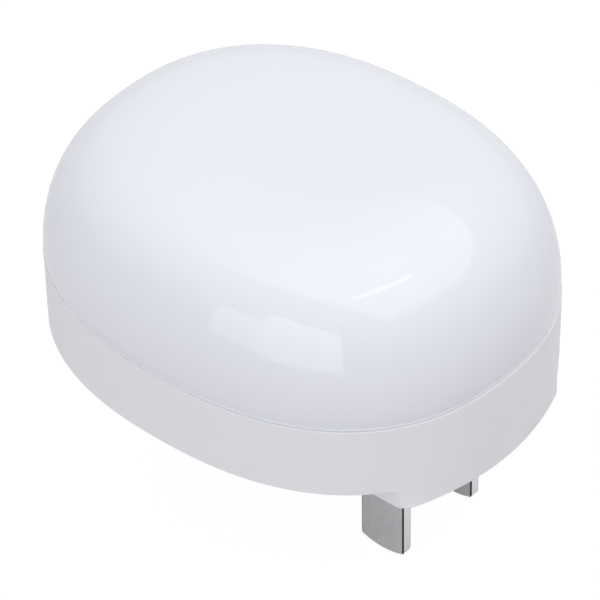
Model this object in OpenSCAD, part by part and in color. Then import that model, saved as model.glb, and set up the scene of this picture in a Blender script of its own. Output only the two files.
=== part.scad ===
// Plug-in night light: an oval base that carries two flat plug blades, a driver and LED board
// inside it, and an opal diffuser pressed into its rim.
// +Z points out of the wall through the diffuser, -Z along the blades into the outlet, and +Y
// along the oval away from its plug end. The origin lies between the blades on the plug pad.

/* [Oval body] */
// Width of the oval at the rim
body_w = 51.2; // [46:0.1:56]
// Length of the oval at the rim
body_l = 61.7; // [56:0.1:68]
// Exponent of the oval outline: 2 is an ellipse, more is squarer
oval_n = 2.32; // [2.1:0.01:2.5]
// Distance from the blades to the near end of the oval
plug_inset = 12.95; // [11.8:0.05:14.2]

/* [Base housing] */
// Depth of the base from its back to its rim
base_d = 10; // [9:0.1:13]
// Inward lean of the base wall from its rim to its back
base_draft = 0.3; // [0:0.05:0.6]
// Thickness of the back plate
back_t = 2; // [1.4:0.1:2.2]
// Thickness of the rim outside the diffuser's skirt
rim_t = 1; // [0.8:0.1:1.4]
// Radius of the posts that carry the board
post_r = 2.3; // [1.9:0.1:2.5]
// Height of the posts above the back plate
post_h = 6.6; // [6:0.1:7.2]

/* [Plug pad and blades] */
// Height of the raised pad that meets the outlet
pad_h = 2.4; // [2.2:0.1:4]
// Width of the pad
pad_w = 29.6; // [27:0.1:32]
// Distance from the blades to the pad's upper edge
pad_top = 9; // [8.2:0.1:12]
// Radius of the pad's upper corners
pad_r = 3; // [1:0.1:5]
// Thickness of the pad's face
pad_face_t = 2; // [1.6:0.1:2.2]
// Thickness of the pad's side walls
pad_wall = 1.9; // [1.4:0.1:2]
// Distance between the middles of the blades
blade_pitch = 12.7; // [12.7:0.1:13.6]
// Width of a blade
blade_w = 6.35; // [6:0.05:6.9]
// Thickness of a blade
blade_t = 1.5; // [1.4:0.05:1.6]
// Length of a blade outside the pad
blade_len = 16.95; // [15.9:0.05:18.3]
// Radius of the arc that ends a blade
tip_r = 8.4; // [6:0.1:14]
// Width of the shoulders that trap a blade in the pad
shoulder_w = 9; // [8:0.1:10]
// Height of those shoulders
shoulder_h = 2.8; // [2.6:0.1:3]
// Width of the solder tab at a blade's inner end
tab_w = 4.2; // [3.6:0.1:5]
// Height of the solder tab above the shoulders
tab_h = 4.2; // [3.8:0.1:4.6]

/* [Blade clamp] */
// Width of the plate that holds the blades down
clamp_w = 25.2; // [22.8:0.1:27.6]
// Length of the clamp along the oval
clamp_l = 10; // [9:0.1:11]
// Thickness of the clamp
clamp_t = 2; // [1.6:0.1:2.1]
// Distance from each end of the clamp to its screw
clamp_screw_inset = 1.8; // [1.65:0.05:1.95]

/* [Diffuser] */
// Height of the diffuser from its lip to its crown
dome_h = 16.6; // [13:0.1:22]
// Exponent of the dome across its radius: more gives a flatter crown
dome_p = 5.2; // [3:0.1:8]
// Exponent of the dome up its height: more gives a steeper side
dome_q = 2.17; // [1.6:0.01:3]
// Thickness of the diffuser at its crown
dome_t = 1.9; // [1.5:0.1:2.4]
// Width of the shadow line between the diffuser and the rim
seam_gap = 0.25; // [0.1:0.05:0.6]
// Length of the skirt that plugs into the rim
skirt_l = 3; // [2:0.1:3.2]
// Thickness of the skirt
skirt_t = 0.9; // [0.8:0.1:1.2]
// Clearance between the skirt and the rim
skirt_gap = 0.3; // [0.2:0.05:0.4]
// Clearance that is left at the skirt's crush ribs
rib_gap = 0.06; // [0.03:0.01:0.1]

/* [LED board] */
// Clearance between the board's edge and the housing
board_gap = 0.6; // [0.4:0.1:1]
// Thickness of the board
board_t = 1.2; // [1:0.1:1.6]
// Number of LEDs on the board
led_count = 6; // [4:2:8]
// Half width of the ring of LEDs
led_ring_x = 10.5; // [9.5:0.1:11.5]
// Half length of the ring of LEDs
led_ring_y = 14.5; // [13.1:0.1:15.9]
// Length of an LED
led_l = 3.5; // [3:0.1:3.6]
// Width of an LED
led_w = 2.8; // [2.4:0.1:3]
// Height of an LED
led_h = 0.8; // [0.6:0.1:1.2]
// Radius of an LED's phosphor window
phosphor_r = 1.1; // [0.8:0.05:1.15]

/* [Driver parts] */
// Length of the film capacitor
film_l = 13; // [11.8:0.1:14.2]
// Width of the film capacitor
film_w = 8.5; // [7.7:0.1:9.3]
// Height of the film capacitor
film_h = 5.6; // [5:0.1:6]
// Diameter of the smoothing capacitor
can_d = 5; // [4:0.1:5.8]
// Length of the smoothing capacitor
can_l = 11; // [10:0.1:12]
// Diameter of the fuse resistor
fuse_d = 3; // [2.4:0.1:3.6]
// Length of the fuse resistor
fuse_l = 8.5; // [7:0.1:9]
// Diameter of the bleed resistor
bleed_d = 2.3; // [1.8:0.1:2.6]
// Length of the bleed resistor
bleed_l = 6.2; // [5:0.1:6.6]
// Diameter of a component lead
lead_d = 0.6; // [0.5:0.05:0.7]
// Diameter of a wire over its insulation
wire_d = 1.5; // [1.2:0.1:1.8]
// Diameter of a wire's bare core
core_d = 0.7; // [0.5:0.05:0.8]

/* [Light sensor] */
// Diameter of the sensor's lens
sensor_d = 3; // [2.6:0.1:3.2]
// Wall thickness of the shroud round the sensor
shroud_t = 0.4; // [0.3:0.05:0.7]
// Diameter of the sensor's window in the housing wall
window_d = 3.4; // [2.8:0.1:4]

/* [Screws] */
// Diameter of a screw's shank
screw_d = 1.7; // [1.5:0.05:1.9]
// Diameter of a screw's head
screw_head_d = 3.8; // [3.4:0.1:4]
// Height of a screw's head
screw_head_h = 1.2; // [0.9:0.1:1.3]

/* [Hidden] */

$fn = 48;
eps = 0.02;

// Points round an oval outline, and rings up the outside and the inside of the dome
oval_steps = 80;
outer_rings = 14;
inner_rings = 10;
ribs_every = 8;

// Middle of the oval, measured from the blades
plug_offset = body_l / 2 - plug_inset;

// Levels, from the pad's face up
wall_t = rim_t + skirt_gap + skirt_t;
z_back = pad_h;
z_floor = z_back + back_t;
z_rim = z_back + base_d;
z_lip = z_rim + seam_gap;
z_shelf = z_rim - skirt_l;
z_board = z_floor + post_h;
z_board_top = z_board + board_t;
z_shoulder = pad_face_t + shoulder_h;
z_clamp_top = z_shoulder + clamp_t;
z_tab_top = z_shoulder + tab_h;

// Plug pad pocket
pocket_x = pad_w / 2 - pad_wall;
pocket_top = pad_top - pad_wall;
pocket_bottom = -6.5;
pocket_r = 1.5;
blade_slack = 0.1;
clamp_slack = 0.15;
clamp_r = 1;
tab_hole_r = 0.6;
tab_hole_drop = 1;
boss_r = 1.9;
boss_drop = 0.1;
tip_steps = 12;

// Screws: the shank runs in a pilot hole with a thread's clearance
thread_slack = 0.05;
screw_slack = 0.25;
pilot_r = screw_d / 2 + thread_slack;
free_hole_r = screw_d / 2 + screw_slack;
head_rim_h = 0.7;
head_top_r = 1.3;
point_r = 0.2;
point_l = 0.8;
clamp_screw_l = 4.4;
board_screw_l = 4.6;
pilot_spare = 0.4;
recess_w = 0.5;
recess_l = 2.4;
recess_d = 0.6;

// Two posts stand just clear of the blade clamp, and two this far inside the oval's far end
post_side_inset = [9.8, 11.4];
post_end_inset = 14.75;
post_clamp_gap = 0.4;
post_y = [
    clamp_l / 2 + post_clamp_gap + post_r,
    plug_offset + body_l / 2 - post_end_inset
];
post_places = [
    for (side = [-1, 1], end = [0, 1])
        [side * (body_w / 2 - post_side_inset[end]), post_y[end]]
];

// The phosphor lies a little below the top of its case
phosphor_drop = 0.05;

// Places of the driver parts, from the middle of the oval
part_gap = 0.2;
film_at = [-6.6, -2.9];
film_pitch = 10;
film_r = 0.5;
can_at = [8.5, -2.9];
can_pitch = 2;
fuse_at = [-9, 8.3];
bleed_at = [15.4, 0.2];
bridge_at = [7.6, 9];
bridge_size = [4.7, 3.9, 2.4];
bridge_pitch = 2.5;
zener_at = [-4, 13.4];
zener_size = [4.4, 2.6, 2];
transistor_at = [6.2, 15.6];
transistor_size = [1.3, 2.9, 1];
transistor_pitch = 1.9;
chip_size = [3.2, 1.6, 0.6];
chip_cap = 0.5;
cap_step = 0.05;
chip_places = [[-0.4, 6.4], [-0.4, 9], [3, -1.4], [-16.6, -2.6]];
leg_w = 0.6;
leg_t = 0.2;
leg_reach = 0.9;
lead_bend = 0.6;
lead_reach = 1.5;
lead_stub = 0.8;
lead_top = z_board_top + lead_stub;
lead_slack = 0.1;
core_slack = 0.15;
hole_fn = 24;

// Wires
wire_at = [4, 6.6];
wire_sides = 10;
wire_steps = 14;
wire_z = z_tab_top - tab_hole_drop;
wire_lead_in = 0.9;
wire_pull = 3;
bare_len = 0.5;
bare_rings = 2;

// Light sensor at the far end of the oval, its shroud and window just clear of the back plate
shroud_slack = 0.15;
shroud_r = sensor_d / 2 + shroud_slack + shroud_t;
window_flange = 0.3;
window_flange_r = window_d / 2 + window_flange;
sensor_floor_gap = 0.15;
sensor_z = z_floor + max(shroud_r, window_flange_r) + sensor_floor_gap;
sensor_lead_pitch = 2.54;
sensor_back_inset = 8.2;
sensor_len = 4.6;
sensor_flange_d = 3.6;
sensor_flange_t = 0.7;
shroud_end_gap = 0.05;
flange_gap = 0.1;
window_slack = 0.06;
window_flange_t = 0.8;
window_recess = 0.15;

// Solder
solder_r = 0.85;
solder_h = 0.6;
solder_top_r = 0.45;
solder_slack = 0.02;

white_satin = [0.84, 0.845, 0.86];
opal = [0.93, 0.94, 0.97];
nickel = [0.66, 0.66, 0.67];
steel = [0.6, 0.61, 0.63];
tin = [0.78, 0.79, 0.8];
board_white = [0.93, 0.94, 0.92];
phosphor = [0.95, 0.85, 0.3];
black = [0.09, 0.09, 0.1];

// Radius of the oval with the given half axes, at an angle from +X
function oval_r(half_x, half_y, t) =
    pow(pow(abs(cos(t)) / half_x, oval_n) + pow(abs(sin(t)) / half_y, oval_n), -1 / oval_n);

function oval_point(half_x, half_y, t) =
    oval_r(half_x, half_y, t) * [cos(t), sin(t)];

function oval_outline(half_x, half_y) =
    [for (i = [0 : oval_steps - 1]) oval_point(half_x, half_y, i * 360 / oval_steps)];

// The oval moved in from the rim by an inset, and scaled by a share of its radius
function oval_ring(inset, share, z) = [
    for (i = [0 : oval_steps - 1])
        let (p = share * oval_point(body_w / 2 - inset, body_l / 2 - inset, i * 360 / oval_steps))
            [p[0], p[1] + plug_offset, z]
];

// A ring of the skirt's outside, where every few points stand out as a crush rib
function skirt_ring(z) = [
    for (i = [0 : oval_steps - 1])
        let (
            inset = rim_t + (i % ribs_every == 0 ? rib_gap : skirt_gap),
            p = oval_point(body_w / 2 - inset, body_l / 2 - inset, i * 360 / oval_steps)
        )
            [p[0], p[1] + plug_offset, z]
];

function dome_share(a) = pow(cos(a), 2 / dome_p);
function dome_rise(a) = pow(sin(a), 2 / dome_q);

function unit(v) = v / norm(v);

function bezier(a, b, c, d, t) =
    pow(1 - t, 3) * a + 3 * pow(1 - t, 2) * t * b + 3 * (1 - t) * pow(t, 2) * c + pow(t, 3) * d;

// An upright prism of the oval
module oval_prism(inset, z0, z1) {
    translate([0, plug_offset, z0])
        linear_extrude(z1 - z0)
            polygon(oval_outline(body_w / 2 - inset, body_l / 2 - inset));
}

// A slab with round corners, from one corner to the opposite one
module round_slab(low, high, r) {
    size = high - low;
    translate(low) {
        translate([r, 0, 0])
            cube([size[0] - 2 * r, size[1], size[2]]);
        translate([0, r, 0])
            cube([size[0], size[1] - 2 * r, size[2]]);
        for (x = [r, size[0] - r], y = [r, size[1] - r])
            translate([x, y, 0])
                cylinder(r = r, h = size[2]);
    }
}

// Faces between neighbouring rings of one count of points
function ring_faces(rows, count) = [
    for (k = [0 : rows - 2], i = [0 : count - 1])
        let (j = (i + 1) % count)
            each [
                [k * count + i, (k + 1) * count + i, k * count + j],
                [k * count + j, (k + 1) * count + i, (k + 1) * count + j]
            ]
];

module diffuser() {
    outer = [
        for (k = [0 : outer_rings - 1])
            let (a = 90 * k / outer_rings)
                oval_ring(0, dome_share(a), z_lip + dome_h * dome_rise(a))
    ];
    inner = [
        for (k = [0 : inner_rings - 1])
            let (a = 90 * k / inner_rings)
                oval_ring(wall_t, dome_share(a), z_lip + (dome_h - dome_t) * dome_rise(a))
    ];
    rings = concat(
        [for (k = [inner_rings - 1 : -1 : 0]) inner[k]],
        [
            oval_ring(wall_t, 1, z_shelf),
            skirt_ring(z_shelf),
            skirt_ring(z_lip)
        ],
        outer
    );
    count = oval_steps;
    rows = len(rings);
    points = concat(
        [for (ring = rings) each ring],
        [
            [0, plug_offset, z_lip + dome_h - dome_t],
            [0, plug_offset, z_lip + dome_h]
        ]
    );
    inner_crown = [
        for (i = [0 : count - 1])
            [rows * count, i, (i + 1) % count]
    ];
    outer_crown = [
        for (i = [0 : count - 1])
            [rows * count + 1, (rows - 1) * count + (i + 1) % count, (rows - 1) * count + i]
    ];
    color(opal)
        polyhedron(
            points = points,
            faces = concat(ring_faces(rows, count), inner_crown, outer_crown)
        );
}

// The base's outside, which leans in towards the back
module base_outside() {
    back_x = body_w / 2 - base_draft;
    back_y = body_l / 2 - base_draft;
    translate([0, plug_offset, z_back])
        linear_extrude(base_d, scale = [body_w / 2 / back_x, body_l / 2 / back_y], slices = 1)
            polygon(oval_outline(back_x, back_y));
}

// The raised pad follows the oval at its lower end
module plug_pad() {
    intersection() {
        oval_prism(base_draft, 0, z_back + eps);
        round_slab(
            [-pad_w / 2, -body_l, 0],
            [pad_w / 2, pad_top, z_back + eps],
            pad_r
        );
    }
}

module blade_places() {
    for (side = [-1, 1])
        translate([side * blade_pitch / 2, 0, 0])
            children();
}

module clamp_screw_places() {
    for (side = [-1, 1])
        translate([side * (clamp_w / 2 - clamp_screw_inset), 0, 0])
            children();
}

// Along +Y from the sensor's axis at its back end
module on_sensor_axis(y) {
    translate([0, y, sensor_z])
        rotate([-90, 0, 0])
            children();
}

function sensor_back_y() = plug_offset + body_l / 2 - sensor_back_inset;
function wall_inner_y() = plug_offset + body_l / 2 - wall_t;

module base_housing() {
    color(white_satin)
        difference() {
            union() {
                difference() {
                    union() {
                        base_outside();
                        plug_pad();
                    }
                    oval_prism(wall_t, z_floor, z_rim + 1);
                    oval_prism(rim_t, z_shelf, z_rim + 1);
                    round_slab(
                        [-pocket_x, pocket_bottom, pad_face_t],
                        [pocket_x, pocket_top, z_floor + 1],
                        pocket_r
                    );
                }
                for (p = post_places)
                    translate([p[0], p[1], z_floor - eps])
                        cylinder(r = post_r, h = post_h + eps);
                clamp_screw_places()
                    translate([0, 0, pad_face_t - eps])
                        cylinder(r = boss_r, h = shoulder_h - boss_drop + eps);
            }
            blade_places()
                translate([-blade_t / 2 - blade_slack, -blade_w / 2 - blade_slack, -1])
                    cube([
                        blade_t + 2 * blade_slack,
                        blade_w + 2 * blade_slack,
                        pad_face_t + 2
                    ]);
            for (p = post_places)
                translate([p[0], p[1], z_board - board_screw_l - pilot_spare])
                    cylinder(r = pilot_r, h = board_screw_l + pilot_spare + 1);
            clamp_screw_places()
                translate([0, 0, z_clamp_top - clamp_screw_l - pilot_spare])
                    cylinder(r = pilot_r, h = clamp_screw_l);
            on_sensor_axis(wall_inner_y() - 1)
                cylinder(r = window_d / 2 + window_slack, h = wall_t + 2);
        }
}

// One blade: an arc tip, a straight shank, trapped shoulders and a solder tab
module blade() {
    half = blade_w / 2;
    tip_a = asin(half / tip_r);
    tip = [
        for (i = [0 : tip_steps])
            let (a = tip_a * (2 * i / tip_steps - 1))
                [tip_r * sin(a), -blade_len + tip_r * (1 - cos(a))]
    ];
    inner_end = [
        [half, pad_face_t],
        [shoulder_w / 2, pad_face_t],
        [shoulder_w / 2, z_shoulder],
        [tab_w / 2, z_shoulder],
        [tab_w / 2, z_tab_top],
        [-tab_w / 2, z_tab_top],
        [-tab_w / 2, z_shoulder],
        [-shoulder_w / 2, z_shoulder],
        [-shoulder_w / 2, pad_face_t],
        [-half, pad_face_t]
    ];
    color(nickel)
        difference() {
            translate([-blade_t / 2, 0, 0])
                rotate([90, 0, 90])
                    linear_extrude(blade_t)
                        polygon(concat(tip, inner_end));
            translate([-blade_t, 0, wire_z])
                rotate([0, 90, 0])
                    cylinder(r = tab_hole_r, h = 2 * blade_t);
        }
}

module blade_left() {
    translate([-blade_pitch / 2, 0, 0])
        blade();
}

module blade_right() {
    translate([blade_pitch / 2, 0, 0])
        blade();
}

module blade_clamp() {
    color(white_satin)
        difference() {
            round_slab(
                [-clamp_w / 2, -clamp_l / 2, z_shoulder],
                [clamp_w / 2, clamp_l / 2, z_clamp_top],
                clamp_r
            );
            blade_places()
                translate([-blade_t / 2 - clamp_slack, -tab_w / 2 - clamp_slack, z_shoulder - 1])
                    cube([blade_t + 2 * clamp_slack, tab_w + 2 * clamp_slack, clamp_t + 2]);
            clamp_screw_places()
                translate([0, 0, z_shoulder - 1])
                    cylinder(r = free_hole_r, h = clamp_t + 2);
        }
}

// A pan-head screw with a cross recess, its head seated at z = 0
module screw(length) {
    difference() {
        union() {
            cylinder(r = screw_head_d / 2, h = head_rim_h);
            translate([0, 0, head_rim_h])
                cylinder(r1 = screw_head_d / 2, r2 = head_top_r, h = screw_head_h - head_rim_h);
            translate([0, 0, point_l - length])
                cylinder(r = screw_d / 2, h = length - point_l + eps);
            translate([0, 0, -length])
                cylinder(r1 = point_r, r2 = screw_d / 2, h = point_l);
        }
        for (turn = [0, 90])
            rotate([0, 0, turn])
                translate([-recess_l / 2, -recess_w / 2, screw_head_h - recess_d])
                    cube([recess_l, recess_w, recess_d + 1]);
    }
}

module clamp_screws() {
    color(steel)
        clamp_screw_places()
            translate([0, 0, z_clamp_top])
                screw(clamp_screw_l);
}

module board_screws() {
    color(steel)
        for (p = post_places)
            translate([p[0], p[1], z_board_top])
                screw(board_screw_l + board_t);
}

// Middle of a driver part on the board's underside, hung by its height
function under(at, height) =
    [at[0], plug_offset + at[1], z_board - part_gap - height / 2];

// Where each lead starts, the way it heads, and its level
function lead_runs() = concat(
    [
        for (side = [-1, 1])
            [under(film_at, film_h) + [side * film_pitch / 2, film_w / 2, 0], 90]
    ],
    [
        for (side = [-1, 1])
            [under(can_at, can_d) + [side * can_pitch / 2, can_l / 2, 0], 90]
    ],
    [
        for (side = [-1, 1])
            [under(fuse_at, fuse_d) + [side * fuse_l / 2, 0, 0], side > 0 ? 0 : 180]
    ],
    [
        for (side = [-1, 1])
            [under(bleed_at, bleed_d) + [0, side * bleed_l / 2, 0], side * 90]
    ],
    [
        for (side = [-1, 1])
            [[side * sensor_lead_pitch / 2, sensor_back_y(), sensor_z], -90]
    ]
);

// Where each lead and each wire passes through the board
function lead_spots() =
    [for (run = lead_runs()) [run[0][0], run[0][1]] + lead_reach * [cos(run[1]), sin(run[1])]];

function wire_spots() = [for (side = [-1, 1]) [side * wire_at[0], wire_at[1]]];

// A lead that runs level out of a part, turns up and passes through the board
module bent_lead(start, heading) {
    translate(start)
        rotate([0, 0, heading]) {
            rotate([0, 90, 0])
                cylinder(r = lead_d / 2, h = lead_reach - lead_bend);
            translate([lead_reach - lead_bend, 0, lead_bend])
                rotate([90, 0, 0])
                    rotate_extrude(angle = 90, start = -90)
                        translate([lead_bend, 0])
                            circle(r = lead_d / 2);
            translate([lead_reach, 0, lead_bend])
                cylinder(r = lead_d / 2, h = lead_top - start[2] - lead_bend);
        }
}

module component_leads() {
    color(tin)
        for (run = lead_runs())
            bent_lead(run[0], run[1]);
}

module led_board() {
    color(board_white)
        difference() {
            oval_prism(wall_t + board_gap, z_board, z_board_top);
            for (p = post_places)
                translate([p[0], p[1], z_board - 1])
                    cylinder(r = free_hole_r, h = board_t + 2);
            for (p = lead_spots())
                translate([p[0], p[1], z_board - 1])
                    cylinder(r = lead_d / 2 + lead_slack, h = board_t + 2, $fn = hole_fn);
            for (p = wire_spots())
                translate([p[0], p[1], z_board - 1])
                    cylinder(r = core_d / 2 + core_slack, h = board_t + 2, $fn = hole_fn);
        }
}

module led_places() {
    for (i = [0 : led_count - 1]) {
        a = 90 + 360 * i / led_count;
        translate([led_ring_x * cos(a), plug_offset + led_ring_y * sin(a), z_board_top])
            children();
    }
}

module led_cases() {
    color("white")
        led_places()
            difference() {
                translate([-led_l / 2, -led_w / 2, 0])
                    cube([led_l, led_w, led_h]);
                translate([0, 0, led_h / 2])
                    cylinder(r = phosphor_r + eps, h = led_h);
            }
}

module led_phosphors() {
    color(phosphor)
        led_places()
            translate([0, 0, led_h / 2])
                cylinder(r = phosphor_r, h = led_h / 2 - phosphor_drop);
}

module film_capacitor() {
    middle = under(film_at, film_h);
    half = [film_l, film_w, film_h] / 2;
    color([0.78, 0.64, 0.16])
        round_slab(middle - half, middle + half, film_r);
}

// An aluminium can with a crimp near its leads
module smoothing_capacitor() {
    r = can_d / 2;
    crimp = 0.35;
    color([0.12, 0.13, 0.2])
        translate(under(can_at, can_d) - [0, can_l / 2, 0])
            rotate([-90, 0, 0])
                rotate_extrude()
                    polygon([
                        [0, 0],
                        [r - 0.3, 0],
                        [r, 0.3],
                        [r, can_l - 2],
                        [r - crimp, can_l - 1.6],
                        [r - crimp, can_l - 1.2],
                        [r, can_l - 0.8],
                        [r - 0.2, can_l],
                        [0, can_l]
                    ]);
}

// A moulded axial resistor, thicker at its two ends
module axial_resistor(d, length) {
    r = d / 2;
    cap = length * 0.22;
    waist = r * 0.86;
    translate([0, 0, -length / 2])
        rotate_extrude()
            polygon([
                [0, 0],
                [r * 0.7, 0],
                [r, r * 0.3],
                [r, cap],
                [waist, cap + r * 0.3],
                [waist, length - cap - r * 0.3],
                [r, length - cap],
                [r, length - r * 0.3],
                [r * 0.7, length],
                [0, length]
            ]);
}

module fuse_resistor() {
    color([0.35, 0.5, 0.42])
        translate(under(fuse_at, fuse_d))
            rotate([0, 90, 0])
                axial_resistor(fuse_d, fuse_l);
}

module bleed_resistor() {
    color([0.82, 0.7, 0.5])
        translate(under(bleed_at, bleed_d))
            rotate([90, 0, 0])
                axial_resistor(bleed_d, bleed_l);
}

module under_board(at) {
    translate([at[0], plug_offset + at[1], z_board])
        children();
}

// A moulded surface-mount case, hung from z = 0, with legs at the given places on two sides
module moulded_case(size, legs_right, legs_left) {
    translate([-size[0] / 2, -size[1] / 2, -size[2]])
        cube([size[0], size[1], size[2] - leg_t]);
    for (side = [0, 1])
        mirror([side, 0, 0])
            for (y = side == 0 ? legs_right : legs_left) {
                translate([size[0] / 2 - eps, y - leg_w / 2, -leg_t])
                    cube([leg_reach, leg_w, leg_t]);
                translate([size[0] / 2 - eps, y - leg_w / 2, -size[2] / 2])
                    cube([leg_t, leg_w, size[2] / 2]);
            }
}

module bridge_rectifier() {
    legs = [-bridge_pitch / 2, bridge_pitch / 2];
    color(black)
        under_board(bridge_at)
            moulded_case(bridge_size, legs, legs);
}

module zener_diode() {
    color(black)
        under_board(zener_at)
            moulded_case(zener_size, [0], [0]);
}

module sensor_transistor() {
    color(black)
        under_board(transistor_at)
            moulded_case(transistor_size, [0], [-transistor_pitch / 2, transistor_pitch / 2]);
}

module chip_resistors() {
    color(black)
        for (place = chip_places)
            under_board(place)
                translate([-chip_size[0] / 2, -chip_size[1] / 2, 0]) {
                    translate([chip_cap, 0, -chip_size[2]])
                        cube([chip_size[0] - 2 * chip_cap, chip_size[1], chip_size[2]]);
                    for (x = [0, chip_size[0] - chip_cap])
                        translate([x, cap_step, cap_step - chip_size[2]])
                            cube([chip_cap, chip_size[1] - 2 * cap_step, chip_size[2] - cap_step]);
                }
}

// A round-nosed sensor that looks out along +Y
module light_sensor() {
    r = sensor_d / 2;
    color([0.75, 0.85, 0.95])
        on_sensor_axis(sensor_back_y())
            rotate_extrude()
                polygon(concat(
                    [
                        [0, 0],
                        [sensor_flange_d / 2, 0],
                        [sensor_flange_d / 2, sensor_flange_t],
                        [r, sensor_flange_t]
                    ],
                    [
                        for (a = [0 : 15 : 90])
                            [r * cos(a), sensor_len - r + r * sin(a)]
                    ]
                ));
}

// A black sleeve that keeps the LEDs' light off the sensor, pushed up to the window's flange
module sensor_shroud() {
    start = sensor_back_y() + sensor_flange_t + shroud_end_gap;
    end = wall_inner_y() - flange_gap - window_flange_t - shroud_end_gap;
    color(black)
        on_sensor_axis(start)
            difference() {
                cylinder(r = shroud_r, h = end - start);
                translate([0, 0, -1])
                    cylinder(r = sensor_d / 2 + shroud_slack, h = end - start + 2);
            }
}

// A clear plug in the wall, held by a flange on its inner side
module sensor_window() {
    color([0.85, 0.9, 0.95])
        on_sensor_axis(wall_inner_y() - flange_gap - window_flange_t) {
            cylinder(r = window_flange_r, h = window_flange_t);
            cylinder(
                r = window_d / 2,
                h = window_flange_t + flange_gap + wall_t - base_draft - window_recess
            );
        }
}

// Path of a wire on one side: through its blade's tab, over the clamp and up through the board
function wire_path(side) =
    let (
        tab_out = blade_pitch / 2 + blade_t / 2,
        tab_in = blade_pitch / 2 - blade_t / 2,
        a = [side * (tab_in - wire_lead_in), 0, wire_z],
        d = [side * wire_at[0], wire_at[1], z_board - bare_len]
    )
        concat(
            [
                [side * (tab_out + bare_len), 0, wire_z],
                [side * (tab_in - bare_len), 0, wire_z],
                [side * (tab_in - bare_len - eps), 0, wire_z]
            ],
            [
                for (i = [0 : wire_steps])
                    bezier(a, a - [side * wire_pull, 0, 0], d - [0, 0, wire_pull], d, i / wire_steps)
            ],
            [
                d + [0, 0, eps],
                [d[0], d[1], lead_top]
            ]
        );

// A tube along a wire's path, thin where the core is bare
module wire(side) {
    path = wire_path(side);
    last = len(path) - 1;
    ref = unit([0, 1, -1]);
    rings = [
        for (k = [0 : last])
            let (
                along = unit(path[min(k + 1, last)] - path[max(k - 1, 0)]),
                across = unit(cross(along, ref)),
                rise = cross(along, across),
                bare = k < bare_rings || k > last - bare_rings,
                r = bare ? core_d / 2 : wire_d / 2
            )
                [
                    for (i = [0 : wire_sides - 1])
                        let (a = 360 * i / wire_sides)
                            path[k] + r * (cos(a) * across + sin(a) * rise)
                ]
    ];
    first_end = [for (i = [0 : wire_sides - 1]) i];
    last_end = [for (i = [wire_sides - 1 : -1 : 0]) last * wire_sides + i];
    polyhedron(
        points = [for (ring = rings) each ring],
        faces = concat(ring_faces(last + 1, wire_sides), [first_end, last_end])
    );
}

module live_wire() {
    color([0.1, 0.1, 0.11])
        wire(1);
}

module neutral_wire() {
    color([0.9, 0.9, 0.9])
        wire(-1);
}

// A cone of solder on the board round a lead or a wire's core
module solder_cone(hole_r) {
    difference() {
        cylinder(r1 = solder_r, r2 = solder_top_r, h = solder_h, $fn = hole_fn);
        translate([0, 0, -1])
            cylinder(r = hole_r + solder_slack, h = solder_h + 2, $fn = hole_fn);
    }
}

module solder_joints() {
    color(tin) {
        for (p = lead_spots())
            translate([p[0], p[1], z_board_top])
                solder_cone(lead_d / 2);
        for (p = wire_spots())
            translate([p[0], p[1], z_board_top])
                solder_cone(core_d / 2);
        for (side = [-1, 1])
            translate([side * (blade_pitch / 2 + blade_t / 2), 0, wire_z])
                rotate([0, side * 90, 0])
                    solder_cone(core_d / 2);
    }
}

diffuser();
base_housing();
blade_left();
blade_right();
blade_clamp();
clamp_screws();
led_board();
board_screws();
led_cases();
led_phosphors();
film_capacitor();
smoothing_capacitor();
bridge_rectifier();
fuse_resistor();
bleed_resistor();
chip_resistors();
zener_diode();
sensor_transistor();
light_sensor();
sensor_shroud();
sensor_window();
component_leads();
live_wire();
neutral_wire();
solder_joints();
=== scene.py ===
"""A plug-in night light in a plain pale studio.

An oval base carries two flat plug blades, a driver, a board of LEDs and a dusk sensor, and an
opal diffuser is pressed into its rim. Every size is in metres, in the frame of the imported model:
+Z points out of the wall through the diffuser, -Z along the blades, +Y along the oval.
"""

import logging
import math
from collections.abc import Iterable, Sequence
from dataclasses import dataclass, field
from enum import Enum
from functools import cache

import bmesh
import bpy
from mathutils import Matrix, Vector


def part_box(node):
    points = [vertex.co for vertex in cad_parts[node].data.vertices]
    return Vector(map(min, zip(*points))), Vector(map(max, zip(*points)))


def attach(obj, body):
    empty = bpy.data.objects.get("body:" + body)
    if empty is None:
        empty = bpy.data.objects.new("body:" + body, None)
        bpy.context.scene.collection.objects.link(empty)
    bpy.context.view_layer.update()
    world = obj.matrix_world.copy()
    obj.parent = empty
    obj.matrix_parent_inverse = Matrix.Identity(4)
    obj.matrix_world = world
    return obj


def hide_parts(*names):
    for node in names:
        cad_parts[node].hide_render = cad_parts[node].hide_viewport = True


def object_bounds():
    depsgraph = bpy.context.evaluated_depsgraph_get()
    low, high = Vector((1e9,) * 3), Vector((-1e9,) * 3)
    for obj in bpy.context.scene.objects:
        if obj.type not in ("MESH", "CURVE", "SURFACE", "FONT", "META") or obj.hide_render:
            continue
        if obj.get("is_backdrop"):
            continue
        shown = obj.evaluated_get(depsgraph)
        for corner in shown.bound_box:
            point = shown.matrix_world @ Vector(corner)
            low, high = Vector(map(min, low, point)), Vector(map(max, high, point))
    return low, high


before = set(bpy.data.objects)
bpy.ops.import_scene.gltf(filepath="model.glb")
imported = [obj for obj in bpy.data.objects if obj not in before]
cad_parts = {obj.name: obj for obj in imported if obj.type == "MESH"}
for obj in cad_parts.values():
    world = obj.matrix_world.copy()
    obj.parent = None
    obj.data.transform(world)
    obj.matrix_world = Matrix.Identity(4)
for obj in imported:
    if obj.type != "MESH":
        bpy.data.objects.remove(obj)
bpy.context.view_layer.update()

LOG = logging.getLogger("night_light")

Colour = tuple[float, float, float]
Corners = tuple[Vector, Vector]


def mm(value: float) -> float:
    """Millimetres as metres."""
    return value * 0.001


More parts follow.
